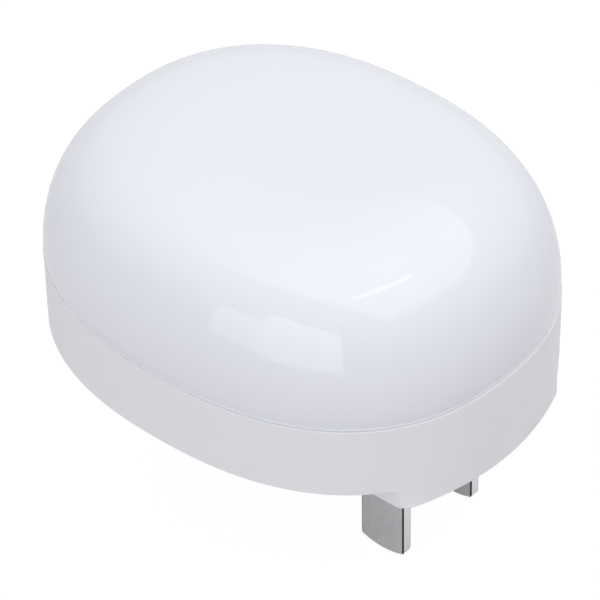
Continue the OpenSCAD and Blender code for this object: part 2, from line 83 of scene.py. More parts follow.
SAME_POINT = mm(0.001)  # points nearer than this are one
SAME_LINE = mm(0.01)  # how far off a line or a plane a point on it may lie
UPRIGHT = mm(0.5)  # the least rise of an upright edge
OVERSHOOT = mm(1.0)  # how far a cutting solid stands out of what it cuts
WHITE: Colour = (1.0, 1.0, 1.0)
NOISE_BAND = (0.3, 0.7)  # the middle of a noise's values
WHOLE_BAND = (0.0, 1.0)  # all the values of a mask
MIX_FIRST, MIX_SECOND, MIX_RESULT = 6, 7, 2  # a Mix node's sockets for colours


@cache
def box_of(node: str) -> Corners:
    """The lowest and highest corner of a node at rest."""
    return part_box(node)


def middle_of(corners: Corners) -> tuple[float, float]:
    """The middle of a box in plan."""
    low, high = corners
    return (low.x + high.x) / 2, (low.y + high.y) / 2


class Body(Enum):
    """The bodies that the pieces ride on."""

    BASE = "base"
    COVER = "cover"


class Axis(Enum):
    """The three axes of the frame."""

    X = 0
    Y = 1
    Z = 2


# ---------------------------------------------------------------- shared mesh work


@dataclass(frozen=True)
class Oval:
    """The superellipse that the base and the diffuser share."""

    half_x: float
    half_y: float
    middle_y: float
    exponent: float = 2.334

    @classmethod
    def of_node(cls, node: str) -> "Oval":
        """The oval that just holds a node.

        Args:
            node: Name of the node.

        Returns:
            The oval with the node's width, length and middle.
        """
        low, high = box_of(node)
        return cls(high.x, (high.y - low.y) / 2, (high.y + low.y) / 2)

    def at(
        self, angle: float, inset: float = 0.0, share: float = 1.0, bend: float = 0.0
    ) -> tuple[float, float]:
        """A point of the oval.

        Args:
            angle: Angle from +X about the oval's middle.
            inset: Distance that both half axes are short by.
            share: Share of the radius.
            bend: What the exponent changes by.

        Returns:
            The point's X and Y.
        """
        across = abs(math.cos(angle)) / (self.half_x - inset)
        along = abs(math.sin(angle)) / (self.half_y - inset)
        exponent = self.exponent + bend
        radius = share * (across**exponent + along**exponent) ** (-1 / exponent)
        return radius * math.cos(angle), self.middle_y + radius * math.sin(angle)

    def angle_of(self, point: Vector) -> float:
        """The angle of a point about the oval's middle."""
        return math.atan2(point.y - self.middle_y, point.x)


@dataclass(frozen=True)
class Ring:
    """One ring of a shell: its inset, its level, its share of the radius and a change of bend."""

    inset: float
    level: float
    share: float = 1.0
    bend: float = 0.0


def edge_arc(corner: Ring, radius: float, start: float, end: float, steps: int = 4) -> list[Ring]:
    """Rings round a rounded edge.

    Args:
        corner: Middle of the arc.
        radius: Radius of the arc.
        start: Angle at its first ring, 0 outwards and 90 up, in degrees.
        end: Angle at its last ring, in degrees.
        steps: How many stretches the arc has.

    Returns:
        The rings in order.
    """
    angles = [math.radians(start + (end - start) * k / steps) for k in range(steps + 1)]
    return [
        Ring(corner.inset - radius * math.cos(a), corner.level + radius * math.sin(a), corner.share)
        for a in angles
    ]


class Shell:
    """A mesh whose open edge is carried from ring to ring round an oval."""

    def __init__(self, oval: Oval, segments: int) -> None:
        """Starts an empty shell.

        Args:
            oval: The outline of every ring.
            segments: How many points a ring has.
        """
        self.oval = oval
        self.segments = segments
        self.mesh = bmesh.new()
        self.edge: list[bmesh.types.BMEdge] = []

    def start(self, ring: Ring, capped: bool = False) -> None:
        """Makes the first ring.

        Args:
            ring: Where it lies.
            capped: Whether a face closes it.
        """
        made = bmesh.ops.create_circle(
            self.mesh, cap_ends=capped, radius=1.0, segments=self.segments
        )["verts"]
        for vert in made:
            angle = math.atan2(vert.co.y, vert.co.x)
            vert.co = (*self.oval.at(angle, ring.inset, ring.share, ring.bend), ring.level)
        self.edge = [edge for edge in self.mesh.edges if all(v in made for v in edge.verts)]

    def carry(self, rings: Iterable[Ring]) -> None:
        """Carries the open edge through more rings.

        Args:
            rings: The rings in order.
        """
        for ring in rings:
            grown = bmesh.ops.extrude_edge_only(self.mesh, edges=self.edge)["geom"]
            made = {item for item in grown if isinstance(item, bmesh.types.BMVert)}
            for vert in made:
                angle = self.oval.angle_of(vert.co)
                vert.co = (*self.oval.at(angle, ring.inset, ring.share, ring.bend), ring.level)
            self.edge = [
                item
                for item in grown
                if isinstance(item, bmesh.types.BMEdge) and all(v in made for v in item.verts)
            ]

    def close(self, level: float) -> None:
        """Draws the open edge together in one point on the oval's middle.

        Args:
            level: Level of the point.
        """
        last = list(dict.fromkeys(vert for edge in self.edge for vert in edge.verts))
        middle = Vector((0.0, self.oval.middle_y, level))
        bmesh.ops.pointmerge(self.mesh, verts=last, merge_co=middle)
        self.edge = []


def add_box(mesh: bmesh.types.BMesh, low: Vector, high: Vector) -> list[bmesh.types.BMVert]:
    """Adds a box to a mesh.

    Args:
        mesh: The mesh to add to.
        low: Its lowest corner.
        high: Its highest corner.

    Returns:
        Its vertices.
    """
    size = high - low
    place = Matrix.Translation((low + high) / 2) @ Matrix.Diagonal((*size, 1.0))
    return bmesh.ops.create_cube(mesh, size=1.0, matrix=place)["verts"]


def add_post(
    mesh: bmesh.types.BMesh,
    foot: Vector,
    height: float,
    radius: float,
    axis: Axis = Axis.Z,
    top_radius: float | None = None,
    segments: int = 48,
) -> list[bmesh.types.BMVert]:
    """Adds a round post to a mesh.

    Args:
        mesh: The mesh to add to.
        foot: Middle of its first end.
        height: Its length, along the axis.
        radius: Radius at its first end.
        axis: The axis that it runs along.
        top_radius: Radius at its other end, if that differs.
        segments: How many sides it has.

    Returns:
        Its vertices.
    """
    turn = {
        Axis.X: Matrix.Rotation(math.pi / 2, 4, "Y"),
        Axis.Y: Matrix.Rotation(-math.pi / 2, 4, "X"),
        Axis.Z: Matrix.Identity(4),
    }[axis]
    place = Matrix.Translation(foot) @ turn @ Matrix.Translation((0.0, 0.0, height / 2))
    return bmesh.ops.create_cone(
        mesh,
        cap_ends=True,
        segments=segments,
        radius1=radius,
        radius2=radius if top_radius is None else top_radius,
        depth=height,
        matrix=place,
    )["verts"]


def round_off(
    mesh: bmesh.types.BMesh,
    geometry: Sequence[bmesh.types.BMEdge | bmesh.types.BMVert],
    radius: float,
    steps: int,
    of_edges: bool = True,
) -> None:
    """Rounds edges or corners.

    Args:
        mesh: The mesh that holds them.
        geometry: The edges, or the vertices, to round.
        radius: Radius of the rounding.
        steps: How many stretches it has.
        of_edges: Whether edges are rounded, and not corners.
    """
    bmesh.ops.bevel(
        mesh,
        geom=list(geometry),
        offset=radius,
        offset_type="OFFSET",
        segments=steps,
        profile=0.5,
        affect="EDGES" if of_edges else "VERTICES",
        clamp_overlap=False,
        material=-1,
    )


def rise_of(edge: bmesh.types.BMEdge) -> float:
    """How far an edge's ends differ in level."""
    first, second = edge.verts
    return abs(first.co.z - second.co.z)


def in_scene(name: str, data: bpy.types.ID) -> bpy.types.Object:
    """Links a new object to the scene.

    Args:
        name: Name of the object.
        data: Its mesh, light or camera.

    Returns:
        The object.
    """
    made = bpy.data.objects.new(name, data)
    bpy.context.scene.collection.objects.link(made)
    return made


def to_object(mesh: bmesh.types.BMesh, name: str) -> bpy.types.Object:
    """Makes an object of a finished mesh, with its faces outwards.

    Args:
        mesh: The mesh, which is freed.
        name: Name of the object.

    Returns:
        The object, linked to the scene.
    """
    bmesh.ops.recalc_face_normals(mesh, faces=mesh.faces)
    data = bpy.data.meshes.new(name)
    mesh.to_mesh(data)
    mesh.free()
    return in_scene(name, data)


def cut_or_join(target: bpy.types.Object, tool: bmesh.types.BMesh, operation: str) -> None:
    """Cuts a tool's solids out of a piece, or joins them to it.

    Args:
        target: The piece.
        tool: The solids, which are freed.
        operation: DIFFERENCE or UNION.
    """
    other = to_object(tool, "tool")
    cut = target.modifiers.new("cut", "BOOLEAN")
    cut.operation = operation
    cut.solver = "EXACT"
    cut.object = other
    graph = bpy.context.evaluated_depsgraph_get()
    result = bpy.data.meshes.new_from_object(target.evaluated_get(graph))
    target.modifiers.clear()
    target.data = result
    bpy.data.objects.remove(other)


def smooth(piece: bpy.types.Object, limit: float = 32.0, flatness: int = 90) -> None:
    """Shades a piece smooth up to an angle, with flat faces kept flat.

    Args:
        piece: The piece.
        limit: Angle in degrees above which an edge stays sharp.
        flatness: How far large faces outweigh small ones, 50 for not at all.
    """
    piece.data.shade_smooth()
    piece.data.set_sharp_from_angle(angle=math.radians(limit))
    weighted = piece.modifiers.new("even_shading", "WEIGHTED_NORMAL")
    weighted.keep_sharp = True
    weighted.weight = flatness


def islands(node: str) -> list[Corners]:
    """The separate solids of a node.

    Args:
        node: Name of the node.

    Returns:
        The lowest and highest corner of each, in order of their places.
    """
    copy = bmesh.new()
    copy.from_mesh(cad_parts[node].data)
    bmesh.ops.remove_doubles(copy, verts=copy.verts, dist=SAME_POINT)
    left = set(copy.verts)
    found: list[Corners] = []
    while left:
        group = {left.pop()}
        front = list(group)
        while front:
            vert = front.pop()
            near = {edge.other_vert(vert) for edge in vert.link_edges} - group
            group |= near
            front += near
        left -= group
        low = Vector(min(v.co[axis] for v in group) for axis in range(3))
        high = Vector(max(v.co[axis] for v in group) for axis in range(3))
        found.append((low, high))
    copy.free()
    return sorted(found, key=lambda corners: tuple(round(c, 5) for c in corners[0]))


# ---------------------------------------------------------------- finishes


def arithmetic(
    tree: bpy.types.NodeTree,
    kind: str,
    first: bpy.types.NodeSocket,
    second: bpy.types.NodeSocket | float = 0.0,
) -> bpy.types.NodeSocket:
    """One step of arithmetic in a node tree.

    Args:
        tree: The tree.
        kind: The Math node's operation.
        first: Its first value.
        second: Its second value.

    Returns:
        The result.
    """
    node = tree.nodes.new("ShaderNodeMath")
    node.operation = kind
    tree.links.new(first, node.inputs[0])
    if isinstance(second, float):
        node.inputs[1].default_value = second
    else:
        tree.links.new(second, node.inputs[1])
    return node.outputs[0]


def blended(
    tree: bpy.types.NodeTree,
    share: bpy.types.NodeSocket,
    first: Colour | bpy.types.NodeSocket,
    second: Colour | bpy.types.NodeSocket,
) -> bpy.types.NodeSocket:
    """A mix of two colours in a node tree.

    Args:
        tree: The tree.
        share: Share of the second colour.
        first: The colour at 0.
        second: The colour at 1.

    Returns:
        The mixed colour.
    """
    node = tree.nodes.new("ShaderNodeMix")
    node.data_type = "RGBA"
    tree.links.new(share, node.inputs[0])
    for colour, index in ((first, MIX_FIRST), (second, MIX_SECOND)):
        socket = node.inputs[index]
        if isinstance(colour, tuple):
            socket.default_value = (*colour, 1.0)
        else:
            tree.links.new(colour, socket)
    return node.outputs[MIX_RESULT]


def either(
    tree: bpy.types.NodeTree,
    share: bpy.types.NodeSocket,
    first: bpy.types.NodeSocket,
    second: bpy.types.NodeSocket,
) -> bpy.types.NodeSocket:
    """A mix of two shaders in a node tree.

    Args:
        tree: The tree.
        share: Share of the second shader.
        first: The shader at 0.
        second: The shader at 1.

    Returns:
        The mixed shader.
    """
    node = tree.nodes.new("ShaderNodeMixShader")
    for socket, source in zip(node.inputs, (share, first, second)):
        tree.links.new(source, socket)
    return node.outputs[0]


def smooth_ramp(
    tree: bpy.types.NodeTree,
    value: bpy.types.NodeSocket,
    limits: tuple[float, float] = (0.0, 1.0),
    results: tuple[float, float] = (0.0, 1.0),
) -> bpy.types.NodeSocket:
    """A value eased from one range to another in a node tree.

    Args:
        tree: The tree.
        value: The value.
        limits: Start and end of its range.
        results: What the two become.

    Returns:
        The eased value.
    """
    node = tree.nodes.new("ShaderNodeMapRange")
    node.interpolation_type = "SMOOTHSTEP"
    for name, bound in zip(("From Min", "From Max", "To Min", "To Max"), (*limits, *results)):
        node.inputs[name].default_value = bound
    tree.links.new(value, node.inputs["Value"])
    return node.outputs["Result"]


def reach_along(
    tree: bpy.types.NodeTree, place: bpy.types.NodeSocket, direction: tuple[float, float]
) -> bpy.types.NodeSocket:
    """How far a place lies along a level direction.

    Args:
        tree: The node tree.
        place: The place.
        direction: The direction's X and Y.

    Returns:
        The distance.
    """
    node = tree.nodes.new("ShaderNodeVectorMath")
    node.operation = "DOT_PRODUCT"
    node.inputs[1].default_value = (*direction, 0.0)
    tree.links.new(place, node.inputs[0])
    return node.outputs["Value"]


class Recipe:
    """The nodes of one material, round a single shader."""

    def __init__(self, name: str) -> None:
        """Starts a material that reads Object coordinates.

        Args:
            name: Name of the material.
        """
        self.material = bpy.data.materials.new(name)
        self.material.use_nodes = True
        self.tree = self.material.node_tree
        self.tree.nodes.clear()
        self.output = self.tree.nodes.new("ShaderNodeOutputMaterial")
        self.shader = self.tree.nodes.new("ShaderNodeBsdfPrincipled")
        self.join(self.shader.outputs["BSDF"], self.output.inputs["Surface"])
        self.place = self.tree.nodes.new("ShaderNodeTexCoord").outputs["Object"]

    def join(self, source: bpy.types.NodeSocket, target: bpy.types.NodeSocket) -> None:
        """Links two sockets."""
        self.tree.links.new(source, target)

    def constant(self, **values: float | Colour) -> None:
        """Sets sockets of the shader that are the same all over the surface.

        Args:
            **values: Sockets by their names in lower case, with underscores for spaces.
        """
        sockets = {s.name.lower().replace(" ", "_"): s for s in self.shader.inputs}
        for name, value in values.items():
            whole = isinstance(value, tuple) and len(sockets[name].default_value) == 4
            sockets[name].default_value = (*value, 1.0) if whole else value

    def scaled(self, stretch: Sequence[float]) -> bpy.types.NodeSocket:
        """Object coordinates stretched by axis.

        Args:
            stretch: Scale along X, Y and Z.

        Returns:
            The stretched coordinates.
        """
        node = self.tree.nodes.new("ShaderNodeMapping")
        node.inputs["Scale"].default_value = stretch
        self.join(self.place, node.inputs["Vector"])
        return node.outputs["Vector"]

    def noise(
        self, feature: float, detail: float = 2.0, place: bpy.types.NodeSocket | None = None
    ) -> bpy.types.NodeSocket:
        """Noise from 0 to 1.

        Args:
            feature: Size of its features.
            detail: How many finer layers it has.
            place: Coordinates, if not the plain ones.

        Returns:
            The noise's value.
        """
        node = self.tree.nodes.new("ShaderNodeTexNoise")
        node.inputs["Scale"].default_value = 1.0 / feature
        node.inputs["Detail"].default_value = detail
        self.join(place or self.place, node.inputs["Vector"])
        return node.outputs["Fac"]

    def cells(self, feature: float) -> bpy.types.NodeSocket:
        """Distance to the nearest of scattered points, for specks.

        Args:
            feature: Distance between neighbouring points.

        Returns:
            The distance, in features.
        """
        node = self.tree.nodes.new("ShaderNodeTexVoronoi")
        node.inputs["Scale"].default_value = 1.0 / feature
        self.join(self.place, node.inputs["Vector"])
        return node.outputs["Distance"]

    def part(self, axis: Axis) -> bpy.types.NodeSocket:
        """One part of the Object coordinates.

        Args:
            axis: The part's axis.

        Returns:
            The part.
        """
        node = self.tree.nodes.new("ShaderNodeSeparateXYZ")
        self.join(self.place, node.inputs["Vector"])
        return node.outputs[axis.value]

    def sums(
        self, kind: str, first: bpy.types.NodeSocket, second: bpy.types.NodeSocket | float = 0.0
    ) -> bpy.types.NodeSocket:
        """One step of arithmetic.

        Args:
            kind: The Math node's operation.
            first: Its first value.
            second: Its second value.

        Returns:
            The result.
        """
        return arithmetic(self.tree, kind, first, second)

    def between(
        self, value: bpy.types.NodeSocket, low: float, high: float, soft: float
    ) -> bpy.types.NodeSocket:
        """A mask that is 1 where a value lies between two limits.

        Args:
            value: The value.
            low: Lower limit.
            high: Upper limit.
            soft: Width of its soft edge.

        Returns:
            The mask.
        """
        middle = (low + high) / 2
        away = self.sums("ABSOLUTE", self.sums("SUBTRACT", value, middle))
        return self.remap(away, (high - low) / 2 + soft, (high - low) / 2)

    def remap(
        self,
        value: bpy.types.NodeSocket,
        low: float,
        high: float,
        to_low: float = 0.0,
        to_high: float = 1.0,
    ) -> bpy.types.NodeSocket:
        """A value carried from one range to another and held there.

        Args:
            value: The value.
            low: Start of its range.
            high: End of its range.
            to_low: What the start becomes.
            to_high: What the end becomes.

        Returns:
            The carried value.
        """
        node = self.tree.nodes.new("ShaderNodeMapRange")
        node.inputs["From Min"].default_value = low
        node.inputs["From Max"].default_value = high
        node.inputs["To Min"].default_value = to_low
        node.inputs["To Max"].default_value = to_high
        self.join(value, node.inputs["Value"])
        return node.outputs["Result"]

    def inverse(self, mask: bpy.types.NodeSocket) -> bpy.types.NodeSocket:
        """A mask turned round, so that 0 becomes 1."""
        return self.remap(mask, *WHOLE_BAND, 1.0, 0.0)

    def blend(
        self,
        share: bpy.types.NodeSocket,
        first: Colour | bpy.types.NodeSocket,
        second: Colour | bpy.types.NodeSocket,
    ) -> bpy.types.NodeSocket:
        """A mix of two colours.

        Args:
            share: Share of the second colour.
            first: The colour at 0.
            second: The colour at 1.

        Returns:
            The mixed colour.
        """
        return blended(self.tree, share, first, second)

    def shade(
        self, mask: bpy.types.NodeSocket, colour: Colour, low: float, high: float
    ) -> bpy.types.NodeSocket:
        """One colour made darker and lighter by a mask.

        Args:
            mask: The mask.
            colour: The colour.
            low: The colour's factor where the mask is 0.
            high: The colour's factor where the mask is 1.

        Returns:
            The shaded colour.
        """
        return self.blend(mask, tint(colour, low), tint(colour, high))

    def drive(self, name: str, source: bpy.types.NodeSocket) -> None:
        """Links a value to one of the shader's sockets."""
        self.join(source, self.shader.inputs[name])

    def roughen(
        self,
        noise: bpy.types.NodeSocket,
        low: float,
        high: float,
        band: tuple[float, float] = NOISE_BAND,
    ) -> None:
        """Lets the roughness follow a noise.

        Args:
            noise: The noise.
            low: Roughness at the start of the noise's band.
            high: Roughness at its end.
            band: The noise's values that the two stand for.
        """
        self.drive("Roughness", self.remap(noise, *band, low, high))

    def roughen_about(
        self,
        noise: bpy.types.NodeSocket,
        roughness: float,
        spread: float,
        band: tuple[float, float] = NOISE_BAND,
    ) -> None:
        """Lets the roughness follow a noise to both sides of a middle.

        Args:
            noise: The noise.
            roughness: The middle.
            spread: Share of the middle that it may leave it by.
            band: The noise's values that the two ends stand for.
        """
        self.roughen(noise, roughness * (1 - spread), roughness * (1 + spread), band)

    def relief(self, height: bpy.types.NodeSocket, depth: float, strength: float = 1.0) -> None:
        """Presses a height into the surface's shading.

        Args:
            height: Height from 0 to 1.
            depth: What a height of 1 measures.
            strength: Share of the relief that shows.
        """
        node = self.tree.nodes.new("ShaderNodeBump")
        node.inputs["Distance"].default_value = depth
        node.inputs["Strength"].default_value = strength
        self.join(height, node.inputs["Height"])
        self.join(node.outputs["Normal"], self.shader.inputs["Normal"])


def tint(colour: Colour, factor: float) -> Colour:
    """A colour made darker or lighter by a factor."""
    return tuple(min(1.0, part * factor) for part in colour)


@dataclass(frozen=True)
class Plastic:
    """Moulded plastic with a faint mottle, a fine skin and, if need be, a painted shade tint low
    down.
    """

    name: str
    colour: Colour
    roughness: float = 0.45
    spread: float = 0.1
    mottle: float = 0.02
    mottle_size: float = mm(7.0)
    grain_size: float = mm(0.18)
    grain_depth: float = mm(0.004)
    glow: float = 0.0
    glow_depth: float = mm(1.2)
    glow_reach: tuple[float, float, float] = (1.0, 0.9, 0.85)
    ior: float = 1.49
    low_shade_colour: Colour | None = None
    low_shade_levels: tuple[float, float] = (0.0, 0.0)

    def make(self) -> bpy.types.Material:
        """Builds the material.

        Returns:
            The finished material.
        """
        recipe = Recipe(self.name)
        flow = recipe.noise(self.mottle_size, detail=3.0)
        colour = recipe.shade(flow, self.colour, 1 - self.mottle, 1 + self.mottle)
        # painted shade: low down the colour fades to another tint that stands for the hue of the
        # shade there
        if self.low_shade_colour:
            shade_lowness = recipe.remap(recipe.part(Axis.Z), *self.low_shade_levels, 1.0, 0.0)
            colour = recipe.blend(shade_lowness, colour, self.low_shade_colour)
        recipe.drive("Base Color", colour)
        grain = recipe.noise(self.grain_size)
        recipe.roughen_about(grain, self.roughness, self.spread)
        recipe.relief(grain, self.grain_depth)
        recipe.constant(ior=self.ior)
        if self.glow:
            recipe.constant(
                subsurface_weight=self.glow,
                subsurface_radius=self.glow_reach,
                subsurface_scale=self.glow_depth,
            )
        return recipe.material


@dataclass(frozen=True)
class Metal:
    """Bare or plated metal with a drawn grain along one axis."""

    name: str
    colour: Colour
    roughness: float = 0.3
    spread: float = 0.25
    along: Axis = Axis.Z
    grain_size: float = mm(0.12)
    grain_stretch: float = 40.0
    grain_depth: float = mm(0.002)
    stain: float = 0.06
    stain_size: float = mm(3.0)

    def make(self) -> bpy.types.Material:
        """Builds the material.

        Returns:
            The finished material.
        """
        recipe = Recipe(self.name)
        stretch = [1.0, 1.0, 1.0]
        stretch[self.along.value] = 1.0 / self.grain_stretch
        grain = recipe.noise(self.grain_size, 3.0, recipe.scaled(stretch))
        patches = recipe.noise(self.stain_size, detail=3.0)
        plate = recipe.shade(patches, self.colour, 1 - self.stain, 1 + self.stain)
        recipe.drive("Base Color", plate)
        recipe.roughen_about(grain, self.roughness, self.spread)
        recipe.relief(grain, self.grain_depth)
        recipe.constant(metallic=1.0)
        return recipe.material


@dataclass(frozen=True)
class PlatedBlade:
    """Nickel plate with a drawn grain, a painted highlight on its narrow edges and a painted shade
    line beside them.
    """

    name: str
    colour: Colour
    corner: tuple[float, float]
    middle: float
    roughness: float = 0.26
    spread: float = 0.25
    grain_size: float = mm(0.12)
    grain_stretch: float = 40.0
    grain_depth: float = mm(0.0006)
    stain: float = 0.05
    stain_size: float = mm(3.0)
    edge_highlight_colour: Colour = (0.96, 0.96, 0.97)
    edge_highlight_band: tuple[float, float] = (mm(0.04), mm(0.02))
    shade_line_width: float = mm(0.22)
    shade_line_core: float = 0.6
    shade_line_colour: Colour = (0.03, 0.03, 0.035)

    def make(self) -> bpy.types.Material:
        """Builds the material.

        Returns:
            The finished material.
        """
        recipe = Recipe(self.name)
        drawn = recipe.scaled((1.0, 1.0, 1 / self.grain_stretch))
        grain = recipe.noise(self.grain_size, 3.0, drawn)
        stains = recipe.noise(self.stain_size, detail=3.0)
        plate = recipe.shade(stains, self.colour, 1 - self.stain, 1 + self.stain)
        across = recipe.sums("ABSOLUTE", recipe.part(Axis.X))
        across = recipe.sums("ABSOLUTE", recipe.sums("SUBTRACT", across, self.middle))
        along = recipe.sums("ABSOLUTE", recipe.part(Axis.Y))
        # painted shade: a near-black line where the wide faces meet the narrow edges
        core = self.shade_line_width * self.shade_line_core
        near = [
            recipe.remap(part, limit - self.shade_line_width, limit - core)
            for part, limit in ((across, self.corner[0]), (along, self.corner[1]))
        ]
        line = recipe.sums("MULTIPLY", *near)
        # painted highlight: the narrow edges are made near white so that they shine brighter
        start, end = (self.corner[1] - depth for depth in self.edge_highlight_band)
        edge = recipe.remap(along, start, end)
        plate = recipe.blend(edge, plate, self.edge_highlight_colour)
        recipe.drive("Base Color", recipe.blend(line, plate, self.shade_line_colour))
        recipe.roughen_about(grain, self.roughness, self.spread)
        recipe.relief(grain, self.grain_depth)
        recipe.constant(metallic=1.0)
        return recipe.material


@dataclass(frozen=True)
class ClearResin:
    """Clear cast or moulded resin with a faint tint and fine flow lines."""

    name: str
    colour: Colour
    roughness: float = 0.06
    spread: float = 0.4
    clearness: float = 0.9
    ior: float = 1.5
    flow_size: float = mm(1.5)
    flow_depth: float = mm(0.004)
    flow_band: tuple[float, float] = (0.2, 0.8)
    flow_tint: float = 0.97

    def make(self) -> bpy.types.Material:
        """Builds the material.

        Returns:
            The finished material.
        """
        recipe = Recipe(self.name)
        flow = recipe.noise(self.flow_size)
        recipe.drive("Base Color", recipe.shade(flow, self.colour, self.flow_tint, 1.0))
        recipe.roughen_about(flow, self.roughness, self.spread, self.flow_band)
        recipe.relief(flow, self.flow_depth)
        recipe.constant(transmission_weight=self.clearness, ior=self.ior)
        return recipe.material


@dataclass(frozen=True)
class Phosphor:
    """Grains of yellow phosphor in clear silicone."""

    name: str
    colour: Colour
    roughness: tuple[float, float] = (0.18, 0.3)
    shades: tuple[float, float] = (1.1, 0.8)
    grain_size: float = mm(0.12)
    grain_reach: float = 0.6
    grain_depth: float = mm(0.006)
    glow: float = 0.15
    glow_depth: float = mm(0.3)
    ior: float = 1.41

    def make(self) -> bpy.types.Material:
        """Builds the material.

        Returns:
            The finished material.
        """
        recipe = Recipe(self.name)
        grains = recipe.remap(recipe.cells(self.grain_size), 0.0, self.grain_reach)
        recipe.drive("Base Color", recipe.shade(grains, self.colour, *self.shades))
        recipe.roughen(grains, *self.roughness, band=WHOLE_BAND)
        recipe.relief(grains, self.grain_depth)
        recipe.constant(ior=self.ior, subsurface_weight=self.glow, subsurface_scale=self.glow_depth)
        return recipe.material


@dataclass(frozen=True)
class BandedCoat:
    """A resistor's cement coat with painted colour bands along one axis."""

    name: str
    coat: Colour
    bands: tuple[Colour, ...]
    along: Axis
    middle: float
    pitch: float
    width: float
    band_soft: float = 0.1
    roughness: tuple[float, float] = (0.38, 0.55)
    shades: tuple[float, float] = (0.9, 1.08)
    grit_size: float = mm(0.2)
    grit_depth: float = mm(0.012)

    def make(self) -> bpy.types.Material:
        """Builds the material.

        Returns:
            The finished material.
        """
        recipe = Recipe(self.name)
        grit = recipe.noise(self.grit_size, detail=3.0)
        colour = recipe.shade(grit, self.coat, *self.shades)
        place = recipe.part(self.along)
        start = self.middle - self.pitch * (len(self.bands) - 1) / 2
        for index, band in enumerate(self.bands):
            low = start + index * self.pitch - self.width / 2
            mask = recipe.between(place, low, low + self.width, self.width * self.band_soft)
            colour = recipe.blend(mask, colour, band)
        recipe.drive("Base Color", colour)
        recipe.roughen(grit, *self.roughness)
        recipe.relief(grit, self.grit_depth)
        return recipe.material


@dataclass(frozen=True)
class Package:
    """A black moulded case whose legs are tinned metal."""

    name: str
    colour: Colour
    box: Corners
    leg_reach: float = mm(0.9)
    leg_colour: Colour = (0.74, 0.74, 0.73)
    leg_roughness: float = 0.28
    case_roughness: float = 0.55
    shades: tuple[float, float] = (0.8, 1.5)
    grain_size: float = mm(0.1)
    grain_depth: float = mm(0.006)
    soft: float = mm(0.01)

    def make(self) -> bpy.types.Material:
        """Builds the material.

        Returns:
            The finished material.
        """
        recipe = Recipe(self.name)
        low, high = self.box
        grain = recipe.noise(self.grain_size, detail=3.0)
        inner = (low.x + self.leg_reach, high.x - self.leg_reach)
        case = recipe.between(recipe.part(Axis.X), *inner, self.soft)
        moulded = recipe.shade(grain, self.colour, *self.shades)
        recipe.drive("Base Color", recipe.blend(case, self.leg_colour, moulded))
        recipe.drive("Metallic", recipe.inverse(case))
        recipe.roughen(case, self.leg_roughness, self.case_roughness, band=WHOLE_BAND)
        recipe.relief(grain, self.grain_depth)
        return recipe.material


@dataclass(frozen=True)
class Sleeve:
    """A capacitor's dark shrink sleeve, with one pale stripe and bare aluminium at its ends."""

    name: str
    colour: Colour
    box: Corners
    bare: float = mm(0.35)
    bare_colour: Colour = (0.78, 0.79, 0.8)
    bare_soft: float = mm(0.02)
    stripe: float = mm(1.3)
    stripe_colour: Colour = (0.62, 0.63, 0.66)
    stripe_soft: float = mm(0.05)
    stripe_end: float = mm(0.1)
    roughness: tuple[float, float] = (0.22, 0.36)
    shades: tuple[float, float] = (0.85, 1.3)
    film_size: float = mm(1.2)
    film_stretch: tuple[float, float, float] = (1.0, 0.3, 1.0)
    film_depth: float = mm(0.01)

    def make(self) -> bpy.types.Material:
        """Builds the material.

        Returns:
            The finished material.
        """
        recipe = Recipe(self.name)
        low, high = self.box
        film = recipe.noise(self.film_size, 3.0, recipe.scaled(self.film_stretch))
        sleeve = recipe.shade(film, self.colour, *self.shades)
        middle, level = (low.x + high.x) / 2, (low.z + high.z) / 2
        limits = (middle - self.stripe / 2, middle + self.stripe / 2)
        across = recipe.between(recipe.part(Axis.X), *limits, self.stripe_soft)
        outer = recipe.remap(recipe.part(Axis.Z), level, level - self.stripe_end)
        stripe = recipe.sums("MULTIPLY", across, outer)
        striped = recipe.blend(stripe, sleeve, self.stripe_colour)
        limits = (low.y + self.bare, high.y - self.bare)
        covered = recipe.between(recipe.part(Axis.Y), *limits, self.bare_soft)
        recipe.drive("Base Color", recipe.blend(covered, self.bare_colour, striped))
        recipe.drive("Metallic", recipe.inverse(covered))
        recipe.roughen(film, *self.roughness)
        recipe.relief(film, self.film_depth)
        return recipe.material


@dataclass(frozen=True)
class Laminate:
    """A board's white solder mask over two rings of copper track, with its cut edge bare."""

    name: str
    mask: Colour
    edge: Colour
    middle_y: float
    levels: tuple[float, float]
    ring: tuple[float, float] = (mm(10.5), mm(14.5))
    tracks: tuple[tuple[float, float], ...] = ((0.945, 1.055), (1.32, 1.37))
    track_soft: float = 0.01
    track_tint: float = 0.93
    mask_depth: float = mm(0.03)
    mask_soft: float = mm(0.01)
    roughness: tuple[float, float] = (0.3, 0.42)
    shades: tuple[float, float] = (0.98, 1.02)
    cloth_size: float = mm(0.5)
    cloth_relief: float = 0.15
    relief_depth: float = mm(0.035)

    def make(self) -> bpy.types.Material:
        """Builds the material.

        Returns:
            The finished material.
        """
        recipe = Recipe(self.name)
        cloth = recipe.noise(self.cloth_size)
        white = recipe.shade(cloth, self.mask, *self.shades)
        across = recipe.sums("DIVIDE", recipe.part(Axis.X), self.ring[0])
        along = recipe.sums("SUBTRACT", recipe.part(Axis.Y), self.middle_y)
        along = recipe.sums("DIVIDE", along, self.ring[1])
        squares = [recipe.sums("MULTIPLY", part, part) for part in (across, along)]
        radius = recipe.sums("SQRT", recipe.sums("ADD", *squares))
        rings = [recipe.between(radius, *track, self.track_soft) for track in self.tracks]
        copper = recipe.sums("MAXIMUM", *rings)
        masked = recipe.blend(copper, white, tint(self.mask, self.track_tint))
        low, high = self.levels
        skins = (low + self.mask_depth, high - self.mask_depth)
        inside = recipe.between(recipe.part(Axis.Z), *skins, self.mask_soft)
        recipe.drive("Base Color", recipe.blend(inside, masked, self.edge))
        recipe.roughen(cloth, *self.roughness)
        relief = recipe.sums("ADD", recipe.sums("MULTIPLY", cloth, self.cloth_relief), copper)
        recipe.relief(relief, self.relief_depth)
        return recipe.material


